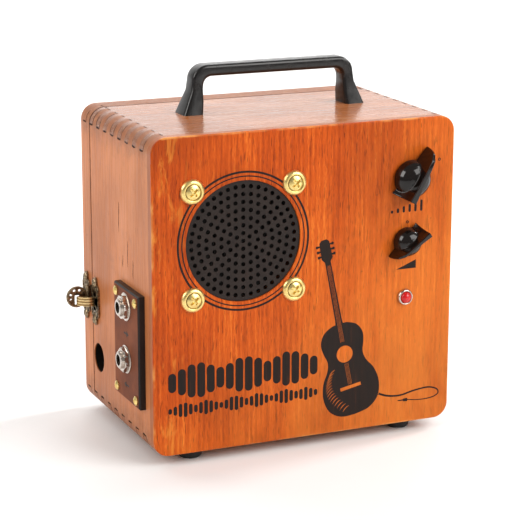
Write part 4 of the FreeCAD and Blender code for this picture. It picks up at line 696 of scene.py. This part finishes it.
def recessed_head(radius, rim, dome, arm_wide, arm_long, deep, rings=26, spokes=96):
    """A domed screw head with a cross recess. z = 0 is the head's rim."""
    vertices, faces = [(0, 0, dome - deep)], []
    for i in range(1, rings + 1):
        r = radius * i / rings
        for k in range(spokes):
            angle = 2 * math.pi * k / spokes
            x, y = r * math.cos(angle), r * math.sin(angle)
            height = dome * (1 - (r / radius) ** 2.4)
            along, side = max(abs(x), abs(y)), min(abs(x), abs(y))
            inside = held((arm_wide - side) / 0.18) * held((arm_long - along) / 0.35)
            centre = held((arm_wide * 1.75 - r) / 0.3)
            vertices.append((x, y, height - deep * max(inside * (1 - 0.35 * along / arm_long), centre)))
    for k in range(spokes):
        faces.append((0, 1 + k, 1 + (k + 1) % spokes))
    for i in range(rings - 1):
        for k in range(spokes):
            a, b = 1 + i * spokes + k, 1 + i * spokes + (k + 1) % spokes
            faces.append((a, a + spokes, b + spokes, b))
    base = len(vertices)
    for k in range(spokes):
        angle = 2 * math.pi * k / spokes
        vertices.append((rim * math.cos(angle), rim * math.sin(angle), -1.0))
    edge = 1 + (rings - 1) * spokes
    for k in range(spokes):
        j = (k + 1) % spokes
        faces.append((edge + k, base + k, base + j, edge + j))
    faces.append(tuple(base + k for k in reversed(range(spokes))))
    return mesh_from("head", vertices, faces)


def corners(node, axis, reach):
    """The four (along axis, z) places that lie reach mm inside the corners of a node's box."""
    low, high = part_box(node)
    inset = reach * MM
    return [(a, z) for a in (low[axis] + inset, high[axis] - inset) for z in (low.z + inset, high.z - inset)]


def make_speaker_trim():
    cup_r = 7.1
    cup = lathe([(4.25, 0.4), (4.3, 1.35), (4.55, 1.95), (4.95, 2.2), (5.4, 2.14), (6.0, 1.85), (6.55, 1.3),
                 (6.9, 0.7), (cup_r, 0.18), (cup_r, 0.0), (4.25, 0.0)], 96)
    head = recessed_head(4.12, 4.0, 1.15, 0.62, 2.75, 1.7)
    head.transform(Matrix.Translation((0, 0, 1.95)))
    long = (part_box("speaker_screws")[1].y - FRONT_Y) / MM
    pitch, major_r, minor_r = 0.7, 1.95, 1.72
    shank = [(0, 1.0), (major_r, 1.0)]
    for k in range(int(long / pitch)):
        shank += [(major_r, -pitch * k), (minor_r, -pitch * k - pitch / 2)]
    head = joined([head, lathe(shank + [(1.5, -long), (0, -long)], 32)])
    cups, heads = [], []
    for x, z in corners("cup_washers", 0, cup_r):
        where = Vector((x, FRONT_Y, z))
        cups.append(placed(cup, where))
        heads.append(placed(head, where, TO_FRONT, rng.uniform(20, 60)))
    piece("cup_rings", joined(cups), "brass", "cabinet", "cup_washers", 60)
    piece("oval_heads", joined(heads), "brass", "cabinet", "speaker_screws", 35)
    centre = middle("speaker_grille")
    centre.y = FRONT_Y + PRINT_SINK * MM
    for name, outer, inner in (("wide_ring", 39.1, 37.9), ("thin_ring", 36.45, 35.75)):
        mesh = outline_mesh([ring_loop(outer, 160), ring_loop(inner, 160)], PRINT_THICK)
        piece(name, placed(mesh, centre), "ink", "cabinet")


# ---- artwork and marks on the front

def on_front(name, loops, x=0.0, z=0.0):
    where = spot(x, PRINT_SINK, z)
    return piece(name, placed(outline_mesh(loops, PRINT_THICK), where), "ink", "cabinet")


def make_wave_rows():
    """Two rows of bars, like a sound level display: each has its middle's height, bar width and heights."""
    rows = {
        "level_bar": (41.8, 4.7, [11, 15, 19, 20, 16, 12, 15, 19.5, 20, 17, 12, 16, 20, 19, 15, 11]),
        "fine_bar": (25.7, 2.15, [3.2, 5.2, 7.6, 8.4, 6.2, 4.4, 6.6, 8.4, 7.0, 4.8, 3.4, 5.4, 8.0, 8.4, 6.4,
                                  4.2, 5.8, 8.2, 7.2, 5.0, 3.4, 5.0, 7.4, 8.4, 6.4, 4.6, 6.0, 7.8, 5.6, 3.6]),
    }
    first, run = -83, 90.7
    for name, (level, wide, heights) in rows.items():
        pitch = run / len(heights)
        for k, tall in enumerate(heights):
            u = first + pitch * (k + 0.5)
            on_front(f"{name}_{k:02d}", [pill(u, level - tall / 2, level + tall / 2, wide)])


def make_guitar():
    """A leaning acoustic guitar with its lead, in silhouette."""
    half = rounded([(0, 0), (9, 1.2), (15.6, 6.5), (17.8, 15), (16.2, 23.5), (12.4, 30), (11.2, 35.5),
                    (12.8, 41.5), (13.2, 47), (10.4, 52.4), (5.2, 55.2), (2.4, 55.6)], 5)
    neck = [(2.1, 58), (1.75, 92), (1.8, 93.2), (3.4, 95.2), (3.1, 104.8), (1.6, 106.2)]
    right = [tuple(p) for p in half] + neck
    body = right + [(-u, v) for u, v in reversed(right) if u > 0.01]
    holes = [ring_loop(5.0, 40, 0, 37.2)[::-1], [(-6.5, 16.0), (6.5, 16.0), (6.5, 18.0), (-6.5, 18.0)][::-1]]
    # The strings over the neck and the soundboard, and worn strokes on the lower bout.
    for k in range(4):
        u = -1.05 + 0.7 * k
        holes.append([(u - 0.09, 44.5), (u + 0.09, 44.5), (u * 0.8 + 0.09, 91), (u * 0.8 - 0.09, 91)][::-1])
        holes.append([(u - 0.09, 18.6), (u + 0.09, 18.6), (u + 0.09, 31.6), (u - 0.09, 31.6)][::-1])
    for k in range(15):
        share = k / 14
        v = 3.6 + 23.5 * share
        reach = 15.2 * math.sin(math.pi * (0.16 + 0.56 * share))
        path = [(-reach - 0.2 + 0.55 * j, v + 0.62 * j - 0.035 * j * j) for j in range(9)]
        holes.append(stroke(path, [0.12 + 0.36 * math.sin(math.pi * j / 8) for j in range(9)])[::-1])
    lean = Matrix.Rotation(math.radians(11.5), 2)
    foot = (31.5, 9.4)

    def turned(loop):
        return [tuple(lean @ Vector(p)) for p in loop]

    on_front("guitar_shape", [turned(loop) for loop in [body] + holes], *foot)
    for k in range(6):
        side, v = (-1, 1)[k // 3], 97 + 3 * (k % 3)
        peg = [(3.0, v - 0.35), (5.2, v - 0.9), (5.7, v), (5.2, v + 0.9), (3.0, v + 0.35)]
        on_front(f"guitar_peg_{k}", [turned([(side * a, b) for a, b in peg][::side])], *foot)
    lead = rounded([(46, 19.5), (52, 17.4), (60, 16.8), (69, 18.6), (78, 19.4), (83.6, 17.6), (84.4, 14.8),
                    (80, 12.9), (72, 12.6), (64, 13.6)], 8)
    widths = [1.25 - 0.75 * k / len(lead) for k in range(len(lead))]
    on_front("guitar_lead", [stroke(lead, widths)])
    plug = [(62.2, 12.75), (64.6, 12.6), (64.6, 14.6), (62.2, 14.45), (61.6, 13.95), (58.4, 13.9),
            (58.4, 13.3), (61.6, 13.25)]
    on_front("guitar_plug", [plug[::-1]])


def make_dial_marks():
    """Rising steps under the volume knob, a wedge under the gain knob, and a small ring at each dial."""
    for k in range(6):
        u = 52.4 + 3.7 * k
        on_front(f"volume_step_{k}", [pill(u, 124.6, 126.4 + 0.95 * k, 1.5, 5)])
    on_front("gain_wedge", [[(55.6, 91.8), (68.2, 91.8), (68.2, 96.7)]])
    for name, (x, z) in (("volume_dot", (81.7, 153.4)), ("gain_dot", (62.3, 119.0))):
        on_front(name, [ring_loop(0.9, 20, x, z), ring_loop(0.4, 16, x, z)[::-1]])


# ---- indicator

def make_indicator():
    where = middle("lamp_bezel")
    where.y = FRONT_Y
    back = -(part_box("lamp_bezel")[1].y - FRONT_Y) / MM
    bezel = lathe([(3.3, back), (3.3, 1.2), (3.42, 1.75), (3.7, 2.05), (4.05, 1.98), (4.38, 1.6), (4.6, 1.0),
                   (4.8, 0.5), (4.8, 0), (3.9, 0), (3.9, back), (3.3, back)], 64)
    lens = lathe([(0, 4.08), (0.9, 4.0), (1.7, 3.7), (2.4, 3.15), (2.95, 2.4), (3.2, 1.5), (3.2, back + 1),
                  (0, back + 1)], 64)
    piece("bezel_ring", placed(bezel, where), "nickel", "cabinet", "lamp_bezel", 60)
    piece("lens_dome", placed(lens, where), "lens", "cabinet", "lamp_lens", 60)


# ---- jack plate

def hex_nut(corner_r, bore_r, low, high):
    """A nut, turned from a profile whose radii are cut back to its flats."""
    flat = corner_r * math.cos(math.pi / 6)

    def shape(angle, radius, height):
        if radius <= bore_r + 1e-6:
            return radius
        turn = (angle % (math.pi / 3)) - math.pi / 6
        side = flat / math.cos(turn)
        return min(side, radius)

    mid = corner_r + 0.01
    return lathe([(bore_r, low), (mid - 0.35, low), (mid, low + 0.25), (mid, high - 0.45), (mid - 0.85, high),
                  (bore_r + 0.5, high), (bore_r, high - 0.3), (bore_r, low)], 96, shape)


def make_jacks():
    plate_low, plate_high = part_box("jack_plate")
    nut = hex_nut(7.3, 4.85, 0.8, 3.2)
    washer = lathe([(4.85, 0), (7.85, 0), (8.0, 0.2), (7.95, 0.62), (7.7, 0.8), (4.85, 0.8)], 96)
    bush = [(3.25, 4.95), (3.5, 5.02), (4.3, 5.02)]
    for k in range(8):
        z = 4.75 - 0.55 * k
        bush += [(4.84, z - 0.12), (4.84, z - 0.25), (4.76, z - 0.42)]
    bush = lathe(bush + [(4.76, 0.0), (3.25, 0.0), (3.25, 4.95)], 72)
    spots = []
    for node in ("output_jack", "input_jack"):
        where = middle(node)
        where.x = plate_low.x
        spots.append(where)
    for name, mesh, node, sharp, turn in (("hex_nuts", nut, "jack_nuts", 30, 31),
                                          ("round_washers", washer, "jack_washers", 40, 0),
                                          ("bush_threads", bush, None, 30, 0)):
        start = 12 if turn else 0
        pair = [placed(mesh, where, TO_LEFT, start + turn * k) for k, where in enumerate(spots)]
        piece(name, joined(pair), "nickel", "cabinet", node, sharp)
    head = recessed_head(2.7, 2.6, 0.95, 0.3, 1.55, 0.9, 18, 72)
    head.transform(Matrix.Translation((0, 0, 0.65)))
    heads = [placed(head, Vector((plate_low.x, y, z)), TO_LEFT, rng.uniform(0, 90))
             for y, z in corners("jack_plate_screws", 1, 2.7)]
    piece("plate_heads", joined(heads), "brass", "cabinet", "jack_plate_screws", 35)
    # The laminate's face over a near-black core.
    centre = (plate_low + plate_high) / 2
    margin = 0.85
    half_u = (plate_high.y - plate_low.y) / 2 / MM - margin
    half_v = (plate_high.z - plate_low.z) / 2 / MM - margin
    face = [(-half_u, -half_v), (half_u, -half_v), (half_u, half_v), (-half_u, half_v)]
    holes = []
    for where in spots:
        u, v = -(where.y - centre.y) / MM, (where.z - centre.z) / MM
        holes.append(ring_loop(4.9, 48, u, v)[::-1])
    mesh = outline_mesh([face] + holes, PRINT_THICK)
    where = Vector((plate_low.x + PRINT_SINK * MM, centre.y, centre.z))
    piece("plate_face", placed(mesh, where, TO_LEFT), "plate", "cabinet")
    for entry in frame["nodes"]["jack_plate"].material_slots:
        entry.material = MATERIALS["plate_edge"]
    # Arrows, out above and in below.
    arrow = [(-3.6, -0.5), (0.6, -0.5), (0.6, -1.9), (4.0, 0), (0.6, 1.9), (0.6, 0.5), (-3.6, 0.5)]
    for name, v, way in (("out_mark", 6.6, 1), ("in_mark", -23.2, -1)):
        mark = outline_mesh([[(p * way, q) for p, q in arrow][::way]], 0.04)
        point = Vector((plate_low.x - PRINT_SINK * MM, centre.y, centre.z + v * MM))
        piece(name, placed(mark, point, TO_LEFT), "ink", "cabinet")


# ---- finger joints, painted seam shade and marks

def strip(points, normals, width, thick=0.04):
    """A thin strip along points (mm, as spot takes them) on a surface with the given normals."""
    rings = []
    last = len(points) - 1
    for k, (point, normal) in enumerate(zip(points, normals)):
        ahead = (points[min(k + 1, last)] - points[max(k - 1, 0)]).normalized()
        side = ahead.cross(normal).normalized()
        half = width[k] / 2
        rings.append([spot(*(point + side * half * a + normal * thick * b))
                      for a, b in ((-1, -1), (1, -1), (1, 1), (-1, 1))])
    return skin("strip", rings)


def ragged(count, width, loose=0.35):
    """Widths along a hand-worn line, thin at both ends."""
    result = []
    for k in range(count):
        taper = min(1.0, 4 * (k + 0.4) / count, 4 * (count - k - 0.6) / count)
        result.append(width * taper * (1 + rng.uniform(-loose, loose)))
    return result


def round_edge(side, up, y, shares):
    """Points and normals round a long edge of the box, from its flat face (0) to its side (1)."""
    centre = Vector((side * (HALF_WIDE - BOARD), y, TALL - BOARD if up > 0 else BOARD))
    angles = [math.radians(90 * share) for share in shares]
    normals = [Vector((side * math.sin(angle), 0, up * math.cos(angle))) for angle in angles]
    return [centre + normal * BOARD for normal in normals], normals


def make_finger_joints():
    """Dark open glue lines where the boards' fingers meet, on the top, the bottom and round the corners."""
    # For each body the board whose depth its fingers share out, and the number of fingers.
    groups = {"cabinet": ("left_board", 8), "lid": ("lid_rails", 1)}
    flat_wide, side_wide, arc_wide, wander = 0.62, 0.95, 0.5, 0.15
    along = (0.03, 0.15, 0.3, 0.45, 0.6, 0.75, 0.88, 0.97)
    for body, (node, fingers) in groups.items():
        low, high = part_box(node)
        start, run = (low.y - FRONT_Y) / MM, (high.y - low.y) / MM
        pitch = run / (2 * fingers)
        meshes = []
        inner = HALF_WIDE - BOARD
        for side in (-1, 1):
            for up in (-1, 1):
                corner_z = TALL - BOARD if up > 0 else BOARD
                level = TALL if up > 0 else 0.0
                for k in range(2 * fingers):
                    near, far = start + k * pitch, start + (k + 1) * pitch
                    y = [near + (far - near) * t for t in along]
                    if k % 2 == 0:
                        line = [Vector((side * (inner + rng.uniform(-wander, wander)), v, level)) for v in y]
                        normal, wide = Vector((0, 0, up)), flat_wide
                    else:
                        line = [Vector((side * HALF_WIDE, v, corner_z + rng.uniform(-wander, wander))) for v in y]
                        normal, wide = Vector((side, 0, 0)), side_wide
                    meshes.append(strip(line, [normal] * len(line), ragged(len(line), wide)))
                for k in range(1, 2 * fingers):
                    if rng.random() < (0.2 if body == "lid" or k > 11 else 0.45):
                        continue
                    y = start + k * pitch
                    whole = rng.uniform(0.35, 0.8)
                    first = rng.choice((0.0, 1.0 - whole, 1.0 - whole))
                    line, normals = round_edge(side, up, y, [first + whole * j / 12 for j in range(13)])
                    meshes.append(strip(line, normals, ragged(13, arc_wide)))
        piece(f"{body}_glue_lines", joined(meshes), "glue", body)


def make_seams():
    """A dark strip of painted shade along the open line where the rear frame meets the cabinet."""
    y = (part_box("lid_rails")[0].y - FRONT_Y) / MM - 0.75
    steps = 60
    inner = HALF_WIDE - BOARD
    up, out = Vector((0, 0, 1)), Vector((-1, 0, 0))
    path = [(Vector((-inner + 2 * inner * k / steps, 0, TALL)), up) for k in range(steps + 1)]
    for side in (1, -1):
        down = list(zip(*round_edge(side, 1, 0, [k / 12 for k in range(1, 13)])))
        for k in range(1, steps + 1):
            level = TALL - BOARD - (TALL - 2 * BOARD) * k / steps
            down.append((Vector((side * HALF_WIDE, 0, level)), Vector((side, 0, 0))))
        path = path + down if side > 0 else down[::-1] + path
    points = [Vector((point.x, y, point.z)) for point, _ in path]
    widths = [0.7 * (1 + rng.uniform(-0.3, 0.3)) for _ in path]
    # The strip is painted shade standing in for the dark of the seam's gap.
    seam_shade = strip(points, [normal for _, normal in path], widths)
    piece("rear_seam_shade", seam_shade, "glue", "cabinet")
    # A knock at each rear corner of the top, where the varnish has gone.
    marks = []
    for x, near, far in ((-81.6, 95.5, 99.2), (80.4, 96.0, 99.2)):
        line = [Vector((x + 0.25 * math.sin(1.7 * k), near + (far - near) * k / 7, TALL)) for k in range(8)]
        marks.append(strip(line, [up] * 8, ragged(8, 0.8)))
    # Short cracks along the left side's grain.
    for y_mm, low, high in ((38.5, 99, 114), (30.2, 94, 105), (52.4, 116, 133), (46.6, 97, 104)):
        line = [Vector((-HALF_WIDE, y_mm + 0.25 * math.sin(0.55 * k), low + (high - low) * k / 11))
                for k in range(12)]
        marks.append(strip(line, [out] * 12, ragged(12, 0.55)))
    piece("dark_cracks", joined(marks), "glue", "cabinet")


# ---- latch

def latch_outline():
    """A quarter of the plate's scalloped outline, mirrored twice."""
    tip = 14.25
    quarter = [(0, tip), (0.9, tip - 0.15), (1.7, tip - 0.8), (2.35, tip - 2.0), (2.2, tip - 3.3),
               (2.5, tip - 4.3), (3.6, tip - 4.4), (4.9, tip - 5.2), (5.9, tip - 6.8), (5.7, tip - 8.4),
               (5.0, tip - 9.6), (5.5, tip - 11.0), (5.95, tip - 12.4), (5.7, tip - 13.6), (5.2, 0)]
    half = [tuple(p) for p in rounded(quarter, 4)]
    half += [(u, -v) for u, v in reversed(half[:-1])]
    return half[:-1] + [(-u, v) for u, v in reversed(half[1:])]


def make_latch():
    plate_half, screw_v = 6, 11
    holes, scroll = [], []
    for k in (-1, 1):
        holes.append(ring_loop(1.45, 24, 0, k * screw_v)[::-1])
        for i in (-1, 1):
            petal = [(i * (3.2 + 1.35 * c), k * (5.9 + 1.9 * d - 0.5 * c)) for c, d in ring_loop(1, 16)]
            holes.append(petal[::-1] if i * k > 0 else petal)
            path = rounded([(i * 0.6, k * 2.2), (i * 2.4, k * 2.9), (i * 4.2, k * 4.4), (i * 4.6, k * 6.6),
                            (i * 3.4, k * 8.3), (i * 1.8, k * 8.2), (i * 1.5, k * 6.9)], 5)
            widths = [0.75 - 0.3 * j / len(path) for j in range(len(path))]
            scroll.append(outline_mesh([stroke(path, widths)], 0.5, 0.15, 1))
        holes.append([(0.8 * c, k * 6.9 + 1.25 * d) for c, d in ring_loop(1, 14)][::-1])
    plate = outline_mesh([latch_outline()] + holes, 1.2, 0.3, 2)
    relief = joined(scroll)
    relief.transform(Matrix.Translation((0, 0, 1.0)))
    flat = joined([plate, relief])
    side = MIDDLE_X - HALF_WIDE * MM
    for node, body, name in (("latch_keeper", "cabinet", "keeper_scrolls"),
                             ("latch_lid_plate", "lid", "lid_plate_scrolls")):
        low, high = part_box(node)
        # The plate's middle lies half its width from its free edge.
        y = low.y + plate_half * MM if node == "latch_keeper" else high.y - plate_half * MM
        where = Vector((side, y, (low.z + high.z) / 2))
        piece(name, placed(flat, where, TO_LEFT), "antique", body, None, 40)
    # The hasp: a round openwork medallion, with a slot for the keeper's tongue.
    low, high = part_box("latch_hasp")
    pin = Vector(JOINTS["hasp_swing"]["pos_m"])
    leaf_r = 6.0
    centre = Vector((low.x + leaf_r * MM, pin.y, (low.z + high.z) / 2))
    slot_u = (pin.x - centre.x) / MM - 6.7
    openings = [[(slot_u - 1.3, -4.6), (slot_u + 1.3, -4.6), (slot_u + 1.3, 1.0), (slot_u - 1.3, 1.0)][::-1]]
    for first, last in ((38, 82), (98, 142), (152, 204)):
        edge = [math.radians(first + (last - first) * j / 8) for j in range(9)]
        loop = [(4.75 * math.cos(a), 4.75 * math.sin(a)) for a in edge]
        loop += [(2.7 * math.cos(a), 2.7 * math.sin(a)) for a in reversed(edge)]
        openings.append(loop[::-1])
    disc = outline_mesh([ring_loop(6.35, 48)] + openings, 1.0, 0.25, 2)
    rim = outline_mesh([ring_loop(5.95, 48), ring_loop(5.05, 48)[::-1]], 0.6, 0.25, 2)
    rim.transform(Matrix.Translation((0, 0, 0.9)))
    medallion = placed(joined([disc, rim]), centre + Vector((0, 0.5 * MM, 0)), TO_FRONT)
    piece("hasp_medallion", medallion, "antique", "hasp", None, 40)


# ---- stage, light and camera

def make_stage():
    g = Graph("pale_floor")
    cloud = g.noise(g.place, 6, 3, 0.5)
    pale = g.mix(g.span(cloud, 0.3, 0.7), (0.86, 0.86, 0.86), (0.90, 0.895, 0.89))
    g.finish(Base_Color=pale, Roughness=0.6)
    # A flat floor that sweeps up into the backdrop behind the part.
    bend = 1.2
    sweep = [math.radians(a) for a in range(6, 91, 6)]
    profile = [(-3.0, 0.0), (bend, 0.0)]
    profile += [(bend + bend * math.sin(a), bend - bend * math.cos(a)) for a in sweep] + [(2 * bend, 4.0)]
    vertices, faces = [], []
    for x in (-6, 6):
        vertices += [(x, y, z) for y, z in profile]
    count = len(profile)
    for k in range(count - 1):
        faces.append((k, k + 1, count + k + 1, count + k))
    mesh = mesh_from("floor", vertices, faces)
    mesh.materials.append(g.material)
    mesh.shade_smooth()
    floor = bpy.data.objects.new("floor", mesh)
    bpy.context.scene.collection.objects.link(floor)
    floor.rotation_euler = (0, 0, math.radians(round(HEADING, 1)))
    world = bpy.data.worlds.new("studio")
    bpy.context.scene.world = world
    world.use_nodes = True
    sky = world.node_tree.nodes["Background"]
    sky.inputs["Color"].default_value = (1, 0.995, 0.99, 1)
    sky.inputs["Strength"].default_value = 0.32


def make_lights():
    for name, where, aim, size, power, colour in LIGHTS:
        data = bpy.data.lights.new(name, "AREA")
        data.shape = "RECTANGLE"
        data.size, data.size_y = size
        data.energy = power
        data.color = colour
        lamp = bpy.data.objects.new(name, data)
        lamp.location = where
        lamp.rotation_mode = "QUATERNION"
        lamp.rotation_quaternion = (Vector(aim) - Vector(where)).to_track_quat("-Z", "Y")
        bpy.context.scene.collection.objects.link(lamp)


def make_camera():
    data = bpy.data.cameras.new("camera")
    data.lens = 136.8
    data.sensor_width = 36
    data.clip_start, data.clip_end = 0.05, 30
    camera = bpy.data.objects.new("camera", data)
    bpy.context.scene.collection.objects.link(camera)
    pose = Matrix.Translation(CAMERA_PLACE)
    for angle, axis in ((HEADING, "Z"), (90 - DOWNWARD, "X"), (ROLL, "Z")):
        pose = pose @ Matrix.Rotation(math.radians(angle), 4, axis)
    camera.matrix_world = pose
    bpy.context.scene.camera = camera


make_knobs()
make_handle()
make_speaker_trim()
make_wave_rows()
make_guitar()
make_dial_marks()
make_indicator()
make_jacks()
make_finger_joints()
make_seams()
make_latch()
make_stage()
make_lights()
make_camera()
bpy.context.scene.view_settings.view_transform = "Standard"

import json
